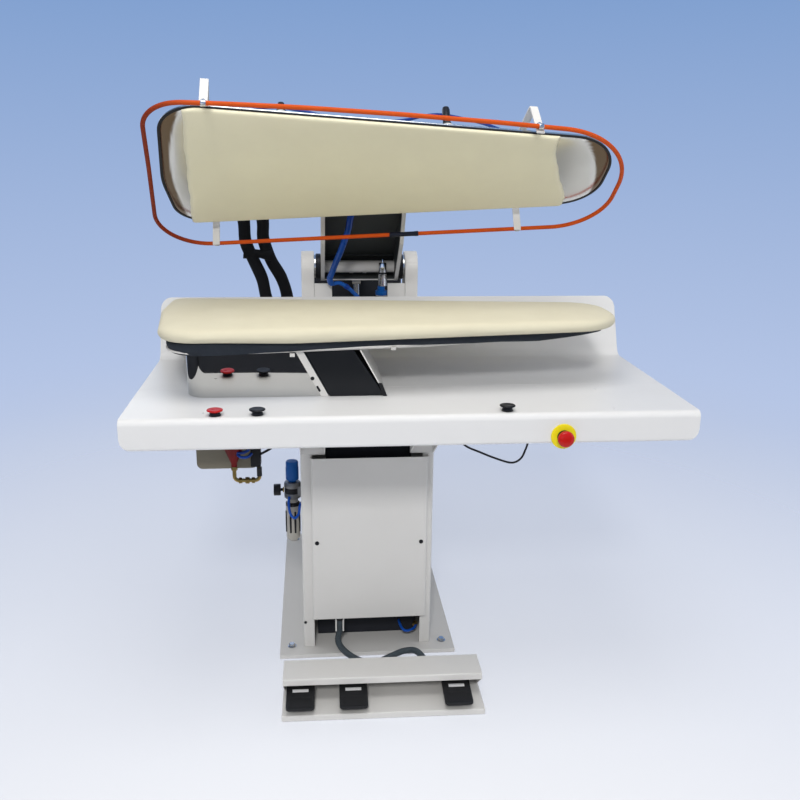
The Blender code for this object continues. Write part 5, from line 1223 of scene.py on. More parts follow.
    def shell(self) -> None:
        """The shell: plan rings along a smooth profile, closed by a flat sole and a flat back.

        Each ring is drawn in by i(s) and lifted by h(s), both shares of the shell's height. The painted brown
        reflection at each end lies outside the curve x = x0 + k (y - y0)^2, with a k for each side of its belly y0.
        """
        rings = []
        for inset, share in profile_samples(self.shell_profile, 60):
            rings.append(level(plan_ring(inset * self.shell_height), self.shell_low + share * self.shell_height))
        x, y, z = np.vstack(rings).T
        left, right = (
            place + np.where(y < belly, front, rear) * (y - belly) ** 2 for place, belly, front, rear in self.painted_reflection_band
        )
        band = np.maximum(left - x, x - right)
        skin = loft(rings)
        # The rim value marks where the painted brown reflection lies, low on the flank at each end.
        skin.values["rim"] = np.clip(band / 0.004 + 0.5, 0, 1) * (z < self.shell_low + 0.16 * self.shell_height)
        self.add("head_shell_skin", skin, SOLE_AND_REFLECTION, "head_shell", sharp=60)

    def cloth(self) -> None:
        """The cloth over the sole, drawn round its long edges and cut off near both ends.

        The sheet is x(u, v): u runs from the left end line to the right one and v across, from the front edge's
        wrapped end over the flat to the rear one. The end lines wave by a few millimetres, the flat carries faint
        hollows a sin(b u) sin(c v), and the ends roll down to the sole by d (1 - u / e)^2.
        """
        side = np.array(self.cloth_profile)
        line = smooth_route(np.column_stack((side, np.zeros(len(side)))), 0.0013)[:, :2]
        flat = np.linspace(0, 1, 46)[1:-1]
        columns, edge_rows, rows = 170, len(line), 2 * len(line) + len(flat)
        u = np.broadcast_to(np.linspace(0, 1, columns), (rows, columns))
        v = np.concatenate((np.zeros(edge_rows), flat, np.ones(edge_rows)))[:, None]
        left = self.cloth_left[0] + (self.cloth_left[1] - self.cloth_left[0]) * v**0.8
        left = left + 0.0014 * np.sin(v * 17 + 0.6) + 0.0008 * np.sin(v * 41 + 1)
        right = self.cloth_right[0] + (self.cloth_right[1] - self.cloth_right[0]) * v**1.15
        right = right + 0.0013 * np.sin(v * 15 + 2) + 0.0007 * np.sin(v * 37)
        x = left + (right - left) * u
        front, rear = front_edge(x), rear_edge(x)
        inner_front, inner_rear = front + line[-1, 0], rear - line[-1, 0]
        y = inner_front + (inner_rear - inner_front) * v
        y[:edge_rows] = front[:edge_rows] + line[:, 0][:, None]
        round_front, round_rear = (
            radius - np.sqrt(np.clip(radius**2 - np.clip(start - x, 0, None) ** 2, 0, None))
            for radius, start in zip((PLAN_CORNERS[0], PLAN_CORNERS[3]), self.cloth_rounds)
        )
        y = y + round_front * (1 - v) - round_rear * v
        y[-edge_rows:] = rear[-edge_rows:] - line[::-1, 0][:, None]
        z = np.full_like(y, line[-1, 1])
        z[:edge_rows] = line[:, 1][:, None]
        z[-edge_rows:] = line[::-1, 1][:, None]
        middle = np.sin(math.pi * v) ** 0.5
        z = z + middle * (0.0007 * np.sin(u * 31 + v * 5) * np.sin(v * 9) + 0.0009 * np.exp(-((u - 0.07) / 0.02) ** 2))
        end = np.clip(1 - np.minimum(u, 1 - u) / 0.01, 0, 1)
        z = z + (self.shell_low - 0.0008 - z) * end**2 * (z < self.shell_low)
        outer = np.dstack((x, y, z))
        inward = np.sign(v - 0.5) * (np.abs(v - 0.5) > 0.499)
        inner = np.dstack((x, y - inward * self.cloth_thick, z + self.cloth_thick * (np.abs(inward) < 0.5)))
        grid = np.arange(rows * columns).reshape(rows, columns)
        a, b, c, d = grid[:-1, :-1], grid[:-1, 1:], grid[1:, 1:], grid[1:, :-1]
        top = np.stack((a, b, c, d), -1).reshape(-1, 4)
        count = rows * columns
        loop = np.concatenate((grid[0, :-1], grid[:-1, -1], grid[-1, :0:-1], grid[:0:-1, 0]))
        after = np.roll(loop, -1)
        border = np.stack((loop, count + loop, count + after, after), -1)
        faces = np.vstack((top, top[:, ::-1] + count, border)).tolist()
        verts = np.vstack((outer.reshape(-1, 3), inner.reshape(-1, 3)))
        # The head's cloth is the brightened copy, painted light for its downward face.
        pad = self.add("head_cloth", Geometry(verts, faces), HEAD_CLOTH_PAINTED_LIGHT, "head_pad", sharp=70)

    def rim(self) -> None:
        """A thin black strip round the shell's widest line, at the cloth's wrapped edge."""
        rings = [level(plan_ring(inset), height) for inset, height in self.rim_profile]
        faces = wrapped_faces(len(rings), len(rings[0]), closed=True, caps=False)
        self.add("shell_rim_strip", Geometry(np.vstack(rings), faces), RUBBER, sharp=50)

    def ring_path(self) -> Array:
        """Centreline of the ring in closed position.

        The plan has rounded corners. Its height falls evenly to the rear, z = h(y), plus the dips of the front run.

        Returns:
            The centreline's points, one row each.
        """
        front = self.ring_margins[0] * math.hypot(1, FRONT_SLOPE)
        rear = self.ring_margins[1] * math.hypot(1, REAR_SLOPE)
        left_front, left_rear, right = self.ring_ends
        corners = (
            (left_front, front_edge(left_front) - front),
            (right, front_edge(right) - front),
            (right, rear_edge(right) + rear),
            (left_rear, rear_edge(left_rear) + rear),
        )
        plan = rounded(corners, self.ring_corners, 24, 16)
        places, dips = np.array(self.ring_dips).T
        dip = ramp(plan[:, 1], -0.5, -0.15) * np.interp(plan[:, 0], places, dips)
        return level(plan, self.ring_height(plan[:, 1]) + dip)

    def ring_height(self, y: float | Array) -> float | Array:
        """Height of the ring at a distance back, in closed position."""
        start, end = FRONT_AT_CENTRE - self.ring_margins[0], REAR_AT_CENTRE + self.ring_margins[1]
        return self.ring_heights[0] + (y - start) / (end - start) * (self.ring_heights[1] - self.ring_heights[0])

    def ring(self) -> None:
        """The safety ring: one tube round the head, with a dark joint sleeve at its rear run."""
        tube = sweep(self.ring_path(), self.ring_radius, 20, closed=True)
        tube.values["shade"] = ramp(tube.verts[:, 0], -0.4, -0.12) * 0.75
        self.add("ring_tube", tube, ORANGE, "safety_ring", sharp=80)
        x = np.linspace(*self.sleeve, 12)
        y = rear_edge(x) + self.ring_margins[1] * math.hypot(1, REAR_SLOPE)
        path = np.column_stack((x, y, self.ring_height(y)))
        radius = self.ring_radius + 0.001 + 0.0006 * (np.abs(np.arange(12) - 5.5) > 4)
        self.add("ring_joint_sleeve", sweep(path, radius, 20), DARK_BLUE, sharp=50)

    def clips(self) -> None:
        """Steel bands and screws that hold the ring to its four brackets.

        A bracket's leg is the line from its bend that passes the ring's centre at the bracket's gap. With d the
        distance from bend to ring, the leg turns by asin(gap / d) from the straight line between them.
        """
        bands, screws = [], []
        sides = {
            -1: (front_edge, FRONT_SLOPE, self.ring_margins[0]),
            1: (rear_edge, -REAR_SLOPE, self.ring_margins[1]),
        }
        for x, facing in self.brackets:
            edge, slope, margin = sides[facing]
            turn = math.atan(slope)
            along = np.array((math.cos(turn), math.sin(turn), 0))
            out = facing * np.array((-math.sin(turn), math.cos(turn), 0))
            up = np.array((0, 0, 1))
            dip = np.interp(x, *np.array(self.ring_dips).T) if facing < 0 else 0.0
            height = self.ring_height(edge(x) + facing * margin * math.hypot(1, slope)) + dip
            seat = np.array((x, edge(x), 0))
            peak = np.array((self.bracket_peak[0] * math.hypot(1, slope), self.bracket_peak[1]))
            reach = np.array((margin, height)) - peak
            aside = math.asin(self.bracket_gap / np.linalg.norm(reach))
            lean = math.atan2(reach[1], reach[0]) - aside
            ring = seat + out * margin + up * height
            bands.append(lathe(self.band_profile, ring, along, 28))
            down = np.linalg.norm(reach) * math.cos(aside) - 0.0155
            point = peak + np.array((math.cos(lean), math.sin(lean))) * down
            face = out * point[0] + up * point[1] + seat
            axis = out * -math.sin(lean) + up * math.cos(lean)
            screws.append(rod(0.0062, 0, 0.0009, face, axis, 24))
            screws.append(hexagon(0.008, 0.0042, face + axis * 0.0009, axis))
        self.add("ring_bands", Geometry.merged(bands), STEEL, sharp=45)
        self.add("ring_screws", Geometry.merged(screws), STEEL, sharp=35)

    def flank_height(self, inset: float) -> float:
        """Height at which a fitting stands on the shell's sloping flank."""
        share = (inset / self.shell_height - 0.4) / 1.15
        return self.shell_low + (0.42 + share * 0.52) * self.shell_height + 0.0066

    def fittings(self) -> None:
        """Two tees on the shell's front flank, and the blue tube between them."""
        for name, x, height in self.tees:
            centre = np.array((x, front_edge(x) + self.flank, self.flank_height(self.flank)))
            parts = [
                hexagon(0.0242, 0.01, centre, (0, 0, 1)),
                lathe(
                    ((0.009, 0.008), (0.01, 0.011), (0.01, height - 0.006), (0.0085, height - 0.004),
                     (0.0085, height - 0.001), (0.006, height)),
                    centre, steps=28,
                ),
                lathe(((0.006, 0.009), (0.0075, 0.01), (0.0075, 0.016), (0.006, 0.017)),
                      centre + (0, 0, height * 0.5 - 0.013), steps=24),
            ]
            self.add(f"{name}_body", Geometry.merged(parts), BLACK, name)
            foot = ((0, -0.006), (0.017, -0.006), (0.017, -0.0008), (0.0155, -0.0002), (0, -0.0002))
            self.add(f"{name}_foot", lathe(foot, centre, steps=36), WHITE)
        seat = self.flank_height(self.shell_height)
        behind = self.flank + 0.0103 + self.tube_radius
        route = [
            (x + aside, front_edge(x + aside) + behind, seat + self.tube_radius + share * height)
            for (_, x, height), knots in zip(self.tees, self.tube_knots)
            for aside, share in knots
        ]
        tube = sweep(smooth_route(route, 0.004), self.tube_radius, 12)
        self.add("head_tube_run", tube, DARK_TUBE, "head_air_tube", sharp=80)


@dataclass
class Arm:
    """The rocking arm, its pivot and the tower that holds it.

    Attributes:
        shop: Where the pieces are made.
        sides: Left and right faces of the arm.
        posts: Inner faces of the two bearing posts.
        collar_radius: Radius of the thrust collars.
        shade_lining: Lowest and highest corner of the near-black sheet before the rear guard, painted shade for the
            tower's shadowed inside.
        fitting: Foot of the upright chrome fitting before the pivot tube.
    """

    shop: Workshop
    sides: Pair = (-0.1215, 0.1285)
    posts: Pair = (-0.143, 0.15)
    collar_radius: float = 0.0415
    shade_lining: tuple[Triple, Triple] = ((-0.15, 0.2905, 0.8905), (0.157, 0.2963, 1.07))
    fitting: Triple = (0.0775, 0.0955, 1.0)

    def build(self) -> None:
        """Makes every piece of the arm and the tower."""
        self.shop.dress(ARM_WITH_CHANNEL_SHADE, 0.0012, "press_arm")
        self.shop.dress(WHITE, 0.0008, "left_bearing_post", "right_bearing_post")
        self.shop.dress(WHITE, 0.001, "column_top_plate")
        self.shop.dress(STEEL, 0.0006, "pivot_shaft")
        self.shop.dress(BLACKENED, 0.0008, "cylinder_barrel")
        self.shop.dress(STEEL, 0.0005, "piston_rod")
        # A near-black sheet before the rear guard: painted shade for the tower's shadowed inside.
        self.shop.piece("tower_shade_lining", box(*self.shade_lining), PAINTED_SHADE, bevel=0.0005)
        self.collars()
        self.chrome_fitting()

    def collars(self) -> None:
        """Dark thrust collars between the arm and its posts, with a bright washer at each post."""
        dark, bright = [], []
        for side, start, end in ((-1, self.sides[0], self.posts[0]), (1, self.sides[1], self.posts[1])):
            reach = abs(end - start) - 0.0005
            centre = (start + side * 0.0003, PIVOT[1], PIVOT[2])
            r = self.collar_radius
            profile = (
                (0.0215, 0.0), (r - 0.002, 0.0), (r, 0.002), (r, reach - 0.007), (r - 0.002, reach - 0.005),
                (0.0215, reach - 0.005),
            )
            dark.append(lathe(profile, centre, (side, 0, 0), 48))
            washer = ((0.0215, reach - 0.0048), (r - 0.004, reach - 0.0048), (r - 0.004, reach), (0.0215, reach))
            bright.append(lathe(washer, centre, (side, 0, 0), 48))
        self.shop.piece("thrust_collars", Geometry.merged(dark), BLACKENED)
        self.shop.piece("thrust_washers", Geometry.merged(bright), STEEL)

    def chrome_fitting(self) -> None:
        """The upright fitting before the pivot tube: blue socket, fine thread, black ring and bright body."""
        base = np.array(self.fitting)
        thread = [(0.0135 + 0.0009 * (step % 2), 0.03 + 0.0022 * step) for step in range(18)]
        chrome = [
            lathe(((0.0, 0.028), *thread, (0.0, 0.0685)), base, steps=32),
            lathe(
                ((0.0, 0.0735), (0.0125, 0.0735), (0.0132, 0.075), (0.0132, 0.101), (0.012, 0.104), (0.006, 0.105),
                 (0.004, 0.1052), (0.004, 0.115), (0.003, 0.1165), (0.0, 0.1167)),
                base, steps=32,
            ),
        ]
        self.shop.piece("arm_fitting_thread", Geometry.merged(chrome), CHROME, sharp=35)
        seal = ((0.0, 0.0685), (0.014, 0.0685), (0.0146, 0.07), (0.014, 0.0735), (0.0, 0.0735))
        self.shop.piece("arm_fitting_seal", lathe(seal, base), BLACK, sharp=50)
        socket = lathe(
            ((0.0, 0.0), (0.018, 0.0), (0.0192, 0.0015), (0.0192, 0.0135), (0.0175, 0.015), (0.012, 0.0155),
             (0.012, 0.029), (0.0, 0.029)),
            base - (0.004, 0, 0), steps=36,
        )
        self.shop.piece("arm_fitting_socket", socket, BLUE, sharp=45)
        shelf = box((base[0] - 0.022, 0.0903, base[2] - 0.0033), (0.112, 0.118, base[2] - 0.0003))
        upright = box((0.0955, 0.0903, 0.96), (0.112, 0.0933, base[2] - 0.0033))
        self.shop.piece("arm_fitting_bracket", Geometry.merged((shelf, upright)), STEEL, bevel=0.0006)


@dataclass
class Table:
    """The table, its buttons, the emergency stop and what hangs under its left end.

    Each profile is turned about its own piece's axis.

    Attributes:
        shop: Where the pieces are made.
        buttons, button_row: Name, place, finish and body of each push button, and their distance back.
        seat, cap_lift: Height of the buttons' seats, and of a cap above its seat.
        collar_profile, cap_profile: A button's ribbed collar and its mushroom cap.
        stop_centre: Middle of the emergency stop's seat.
        disc_profile, neck_profile, mushroom_profile: The stop's yellow disc, neck and red head.
        funnel, funnel_profile: The funnel's axis and form.
        valve: Place across of the drain valve's axis.
        elbow, bend: Height of the brass pipe's level run, and radius of its bends.
        nuts: Width, length, place, height and direction of the nuts on the pipe.
        leads: Name, route, radius and finish of the thin tubes behind the funnel.
    """

    shop: Workshop
    buttons: tuple[tuple[str, float, Finish, Body], ...] = (
        ("red_button", -0.38, RED, Body.RED),
        ("left_black_button", -0.282, BLACK, Body.LEFT_BLACK),
        ("right_black_button", 0.314, BLACK, Body.RIGHT_BLACK),
    )
    button_row: float = -0.769
    seat: float = TABLE_TOP + 0.0003
    cap_lift: float = 0.0103
    collar_profile: Profile = (
        (0.0083, 0.0), (0.014, 0.0), (0.0142, 0.0012), (0.0128, 0.002), (0.0126, 0.0058), (0.0118, 0.007),
        (0.0083, 0.007),
    )
    cap_profile: Profile = (
        (0.0, -0.0062), (0.008, -0.0062), (0.008, 0.0), (0.0165, 0.0002), (0.0186, 0.0011), (0.0192, 0.0024),
        (0.0187, 0.0038), (0.017, 0.0046), (0.012, 0.0044), (0.006, 0.004), (0.0, 0.0039),
    )
    stop_centre: Triple = (0.447, -0.8, 0.799)
    disc_profile: Profile = (
        (0.0093, -0.0143), (0.011, -0.0143), (0.011, -0.0046), (0.029, -0.0046), (0.0306, -0.004),
        (0.031, -0.0026), (0.031, -0.0004), (0.0093, -0.0004),
    )
    neck_profile: Profile = (
        (0.0112, -0.0046), (0.0165, -0.0046), (0.0165, -0.0075), (0.015, -0.008), (0.015, -0.0143),
        (0.0112, -0.0143),
    )
    mushroom_profile: Profile = (
        (0.0, -0.0346), (0.008, -0.0343), (0.014, -0.033), (0.018, -0.0305), (0.0198, -0.027),
        (0.02, -0.0235), (0.0197, -0.02), (0.0188, -0.0186), (0.009, -0.0186), (0.009, -0.0092), (0.0, -0.0092),
    )
    funnel: Pair = (-0.344, -0.732)
    funnel_profile: Profile = (
        (0.0047, 0.716), (0.0072, 0.716), (0.0072, 0.724), (0.0272, 0.773), (0.029, 0.7735), (0.029, 0.776),
        (0.0252, 0.776), (0.025, 0.774), (0.0047, 0.724),
    )
    valve: float = -0.284
    elbow: float = 0.679
    bend: float = 0.011
    nuts: tuple[tuple[float, float, float, float, Triple], ...] = (
        (0.0135, 0.009, -0.344, 0.706, (0, 0, 1)), (0.0135, 0.008, -0.334, 0.679, (1, 0, 0)),
        (0.015, 0.01, -0.318, 0.679, (1, 0, 0)), (0.0135, 0.008, -0.303, 0.679, (1, 0, 0)),
    )
    leads: tuple[tuple[str, Route, float, Finish], ...] = (
        ("front_air_tube", (
            (-0.306, -0.744, 0.762), (-0.318, -0.75, 0.757), (-0.333, -0.748, 0.756), (-0.345, -0.738, 0.764),
            (-0.35, -0.725, 0.779),
        ), 0.0036, DARK_TUBE),
        ("rear_air_tube", (
            (-0.3, -0.744, 0.752), (-0.31, -0.752, 0.746), (-0.326, -0.752, 0.746), (-0.338, -0.742, 0.756),
            (-0.344, -0.73, 0.772),
        ), 0.0036, DARK_TUBE),
        ("valve_lead", (
            (-0.2835, -0.73, 0.744), (-0.272, -0.732, 0.75), (-0.252, -0.725, 0.76),
            (-0.225, -0.7, 0.778), (-0.2, -0.66, 0.79),
        ), 0.003, RUBBER),
    )

    def build(self) -> None:
        """Makes every piece of the table."""
        self.shop.dress(TABLE, 0.0005, "front_table", "rear_table", segments=1)
        self.shop.dress(WHITE, 0.0008, "left_table_arm", "right_table_arm")
        for name, x, finish, body in self.buttons:
            self.button(name, x, finish, body)
        self.stop()
        self.hanging_fittings()

    def button(self, name: str, x: float, finish: Finish, body: Body) -> None:
        """A mushroom button: a ribbed collar that stays and a cap that is pressed.

        Args:
            name: The button's node.
            x: Its place across.
            finish: Finish of the cap.
            body: The body that the cap rides on.
        """
        collar = lathe(self.collar_profile, (x, self.button_row, self.seat), steps=40)
        self.shop.piece(f"{name}_bezel", collar, BLACK, replaces=[f"{name}_collar"])
        cap = lathe(self.cap_profile, (x, self.button_row, self.seat + self.cap_lift), steps=48)
        self.shop.piece(f"{name}_cap", cap, finish, body, [name], sharp=60)

    def stop(self) -> None:
        """The emergency stop: yellow disc, black neck and contact block, and red mushroom, turned about +Y."""
        centre, back = self.stop_centre, (0, 1, 0)
        disc = lathe(self.disc_profile, centre, back, 64)
        self.shop.piece("stop_disc", disc, YELLOW, replaces=["stop_base"])
        self.shop.piece("stop_neck", lathe(self.neck_profile, centre, back, 48), BLACK)
        contacts = rod(0.0112, 0.0033, 0.0373, centre, back)
        self.shop.piece("stop_contact_block", contacts, BLACK, bevel=0.0008)
        head = lathe(self.mushroom_profile, centre, back, 56)
        self.shop.piece("stop_mushroom", head, RED, Body.STOP, ["stop_button"], sharp=60)

    def elbow_route(self) -> Array:
        """Centreline of the brass pipe.

        It falls from the funnel, turns level by (1 - cos a, 1 - sin a) times the bend's radius, runs across, and
        turns up into the valve by (sin a, 1 - cos a) times that radius.

        Returns:
            The pipe's points, one row each.
        """
        left, y = self.funnel
        low, bend = self.elbow, self.bend
        turn = np.linspace(0.2, math.pi / 2, 6)
        x = np.concatenate((
            np.full(5, left), left + bend * (1 - np.cos(turn)), np.linspace(-0.33, -0.296, 6),
            self.valve - bend + bend * np.sin(turn), np.full(4, self.valve),
        ))
        z = np.concatenate((
            np.linspace(0.7157, low + bend, 5), low + bend * (1 - np.sin(turn)), np.full(6, low),
            low + bend * (1 - np.cos(turn)), np.linspace(low + 0.014, 0.7137, 4),
        ))
        return np.column_stack((x, np.full(len(x), y), z))

    def hanging_fittings(self) -> None:
        """Funnel, elbow, valve and thin tubes on the plate under the table."""
        y = self.funnel[1]
        self.shop.dress(OLIVE, 0.0005, "hanging_plate")
        funnel = lathe(self.funnel_profile, (*self.funnel, 0), steps=40)
        self.shop.piece("funnel_cone", funnel, DARK_RED, replaces=["fill_funnel"])
        nuts = [hexagon(across, length, (x, y, z), axis) for across, length, x, z, axis in self.nuts]
        pipe = sweep(self.elbow_route(), 0.0048, 18)
        self.shop.piece("elbow_fittings", Geometry.merged([pipe, *nuts]), BRASS, replaces=["drain_elbow"])
        self.shop.dress(BLACK, 0.0015, "drain_valve")
        drop = rod(0.0062, 0.69, 0.713, (self.valve, y, 0), steps=20)
        self.shop.piece("drain_tube", drop, RUBBER, sharp=50)
        for name, route, radius, finish in self.leads:
            self.shop.piece(name, sweep(smooth_route(route, 0.004), radius, 12), finish, sharp=80)


@dataclass
class Column:
    """The column, its base, covers and the regulator on its side.

    Each profile is turned about its own piece's axis.

    Attributes:
        shop: Where the pieces are made.
        cover_screws, screw_profile: Places and form of the domed screws on the front cover.
        side_screw: Place of the small screw on the column's side.
        shade_linings: Lowest and highest corner of the near-black sheets behind the column's openings, painted shade
            for its shadowed inside.
        saddle_sides: Left faces of the two sides of the conduit's saddle.
        tail_route, tail_fitting: Route of the tube end at the foot, and place and direction of its fitting.
        bolts: Distances of the anchor bolts from the middle, across and back.
        regulator_axis, casting_profile: The regulator's axis and the form of its cast body.
        ribs, knob_rings: Number of ribs of the blue knob, and radius, height and share of the ribs of its rings.
        bowl_profile, band_profiles: The smoked bowl, and the black bands round body and bowl.
        slot_turns: Angles of the slots in the bowl's guard, in degrees.
        grip_profile, stem: Form of the side knob's grip, and place across and height of its foot.
        loop_route: Route of the blue tube loop.
    """

    shop: Workshop
    cover_screws: Profile = ((-0.147, 0.358), (0.156, 0.354))
    screw_profile: Profile = ((0.0, 0.0), (0.0062, 0.0), (0.006, 0.0018), (0.0045, 0.0032), (0.0, 0.0036))
    side_screw: Triple = (-0.1845, -0.3933, 0.095)
    shade_linings: tuple[tuple[Triple, Triple], ...] = (
        ((-0.148, -0.318, 0.0124), (0.154, -0.3168, 0.3)),
        ((-0.118, -0.318, 0.3), (0.133, -0.3168, 0.73)),
    )
    saddle_sides: Pair = (-0.096, -0.0745)
    tail_route: Route = (
        (0.155, -0.33, 0.046), (0.148, -0.352, 0.041), (0.13, -0.366, 0.039), (0.114, -0.366, 0.041),
        (0.105, -0.345, 0.046), (0.102, -0.3185, 0.05),
    )
    tail_fitting: tuple[Triple, Triple] = ((0.1535, -0.3315, 0.046), (-0.45, -0.85, -0.2))
    bolts: Pair = (0.2265, 0.384)
    regulator_axis: Pair = (-0.219, -0.23)
    casting_profile: Profile = (
        (0.0, 0.431), (0.0215, 0.431), (0.025, 0.434), (0.025, 0.446), (0.0235, 0.448), (0.0235, 0.466),
        (0.025, 0.468), (0.025, 0.479), (0.0225, 0.483), (0.0, 0.483),
    )
    ribs: int = 28
    knob_rings: Route = (
        (0.0118, 0.4833, 0), (0.012, 0.49, 0), (0.018, 0.4904, 0), (0.0191, 0.492, 1), (0.0191, 0.53, 1),
        (0.0186, 0.532, 0), (0.019, 0.5345, 0), (0.0188, 0.545, 0), (0.0165, 0.5487, 0), (0.0, 0.5493, 0),
    )
    bowl_profile: Profile = (
        (0.0, 0.2897), (0.0085, 0.2899), (0.0125, 0.291), (0.0195, 0.299), (0.0213, 0.306), (0.0213, 0.404),
        (0.0205, 0.408), (0.0165, 0.417), (0.016, 0.4307), (0.0, 0.4307),
    )
    band_profiles: tuple[Profile, ...] = (
        ((0.0215, 0.448), (0.0239, 0.4484), (0.0239, 0.4656), (0.0215, 0.466)),
        ((0.015, 0.406), (0.0212, 0.407), (0.0216, 0.415), (0.0176, 0.418)),
    )
    slot_turns: tuple[float, ...] = (200, 250, 290, 340)
    grip_profile: Profile = (
        (0.0, 0.0), (0.0045, 0.0), (0.0045, 0.01), (0.0165, 0.0102), (0.018, 0.0118), (0.018, 0.0295),
        (0.0168, 0.031), (0.0, 0.031),
    )
    stem: Pair = (-0.244, 0.457)
    loop_route: Route = (
        (-0.2285, -0.2535, 0.442), (-0.23, -0.264, 0.425), (-0.2265, -0.27, 0.396),
        (-0.214, -0.27, 0.379), (-0.2015, -0.266, 0.39), (-0.1975, -0.26, 0.412),
        (-0.1945, -0.25, 0.418), (-0.1905, -0.24, 0.418),
    )

    def build(self) -> None:
        """Makes every piece of the column."""
        self.shop.dress(WHITE, 0.0012, "base_plate")
        sheets = ("column_left_side", "column_right_side", "front_cover", "rear_panel")
        self.shop.dress(WHITE, 0.0005, *sheets, segments=1)
        self.fixings()
        self.foot_tube()
        self.anchors()
        self.regulator()
        self.bowl_and_side_knob()

    def fixings(self) -> None:
        """Screws of the cover, near-black sheets of painted shade behind the openings and the saddle that holds the
        conduit's gland.
        """
        screws = [lathe(self.screw_profile, (x, -0.4093, z), (0, -1, 0), 24) for x, z in self.cover_screws]
        small = ((0, 0), (0.0045, 0), (0.004, 0.0018), (0, 0.0024))
        screws.append(lathe(small, self.side_screw, (0, -1, 0), 20))
        self.shop.piece("cover_screws", Geometry.merged(screws), BLACKENED)
        # Near-black sheets behind the column's openings: painted shade for its shadowed inside.
        shade_linings = Geometry.merged(box(low, high) for low, high in self.shade_linings)
        self.shop.piece("column_shade_lining", shade_linings, PAINTED_SHADE, bevel=0.0003)
        saddle = Geometry.merged(
            box((x, -0.399, 0.064), (x + 0.0045, -0.385, 0.109)) for x in self.saddle_sides
        )
        self.shop.piece("conduit_saddle", saddle, WHITE, bevel=0.0008)

    def foot_tube(self) -> None:
        """The blue tube end that shows low in the column's opening, with its brass fitting."""
        self.shop.piece("column_tube", sweep(smooth_route(self.tail_route, 0.004), 0.004, 12), TUBE, sharp=80)
        sleeve = ((0, 0), (0.0068, 0), (0.0068, 0.012), (0.0052, 0.014), (0, 0.014))
        self.shop.piece("column_tube_fitting", lathe(sleeve, *self.tail_fitting, 20), BRASS, sharp=40)

    def anchors(self) -> None:
        """A washer and a hexagon head at each corner of the base plate."""
        bolts = []
        for x in (-self.bolts[0], self.bolts[0]):
            for y in (-self.bolts[1], self.bolts[1]):
                bolts.append(rod(0.013, 0.0, 0.002, (x, y, 0.0121)))
                bolts.append(hexagon(0.017, 0.0075, (x, y, 0.0141), (0, 0, 1)))
        self.shop.piece("anchor_bolts", Geometry.merged(bolts), STEEL)

    def regulator(self) -> None:
        """Cast body of the filter regulator with its ribbed blue knob.

        A ring of the knob has the radius r(a) = r0 + s 0.4 mm cos(n a), with n ribs and s 1 on the ribbed rings.
        """
        x, y = self.regulator_axis
        bracket = box((x, y - 0.018, 0.442), (-0.1913, y + 0.018, 0.472))
        body = Geometry.merged((lathe(self.casting_profile, (x, y, 0), steps=40), bracket))
        self.shop.piece("regulator_casting", body, ZINC, replaces=["regulator_body"])
        angle = np.linspace(0, math.tau, self.ribs * 4, endpoint=False)
        around = np.column_stack((np.cos(angle), np.sin(angle)))
        rings = []
        for radius, height, share in self.knob_rings:
            radii = np.maximum(radius + 0.0004 * np.cos(angle * self.ribs) * share, 1e-5)
            rings.append(level(self.regulator_axis + radii[:, None] * around, height))
        self.shop.piece("regulator_cap", loft(rings), BLUE, Body.REGULATOR, ["regulator_knob"], sharp=50)

    def bowl_and_side_knob(self) -> None:
        """Smoked bowl with its guard, the black side knob on its brass collar, and the blue tube loop."""
        x, y = self.regulator_axis
        bowl = lathe(self.bowl_profile, (x, y, 0), steps=40)
        self.shop.piece("regulator_bowl", bowl, BOWL, replaces=["filter_bowl"])
        foot, height = self.stem
        knob = lathe(self.grip_profile, (foot - 0.0003, y, height), (-1, 0, 0), 24)
        self.shop.piece("side_knob_grip", knob, BLACK, Body.SIDE, ["side_knob"])
        collar = ((0, 0), (0.0085, 0), (0.0085, 0.003), (0.0068, 0.004), (0, 0.004))
        self.shop.piece("side_stem_collar", lathe(collar, (foot, y, height), (-1, 0, 0), 20), BRASS, sharp=40)
        bands = Geometry.merged(lathe(profile, (x, y, 0), steps=40) for profile in self.band_profiles)
        self.shop.piece("regulator_bands", bands, BLACK, sharp=40)
        slot = ((0, -0.036), (0.003, -0.034), (0.0034, 0), (0.003, 0.034), (0, 0.036))
        slots = Geometry.merged(
            lathe(slot, (x + 0.0207 * math.cos(turn), y + 0.0207 * math.sin(turn), 0.356), steps=14)
            for turn in np.radians(self.slot_turns)
        )
        self.shop.piece("bowl_slots", slots, BLACK, sharp=60)
        loop = sweep(smooth_route(self.loop_route, 0.003), 0.004, 12)
        self.shop.piece("regulator_tube", loop, TUBE, sharp=80)


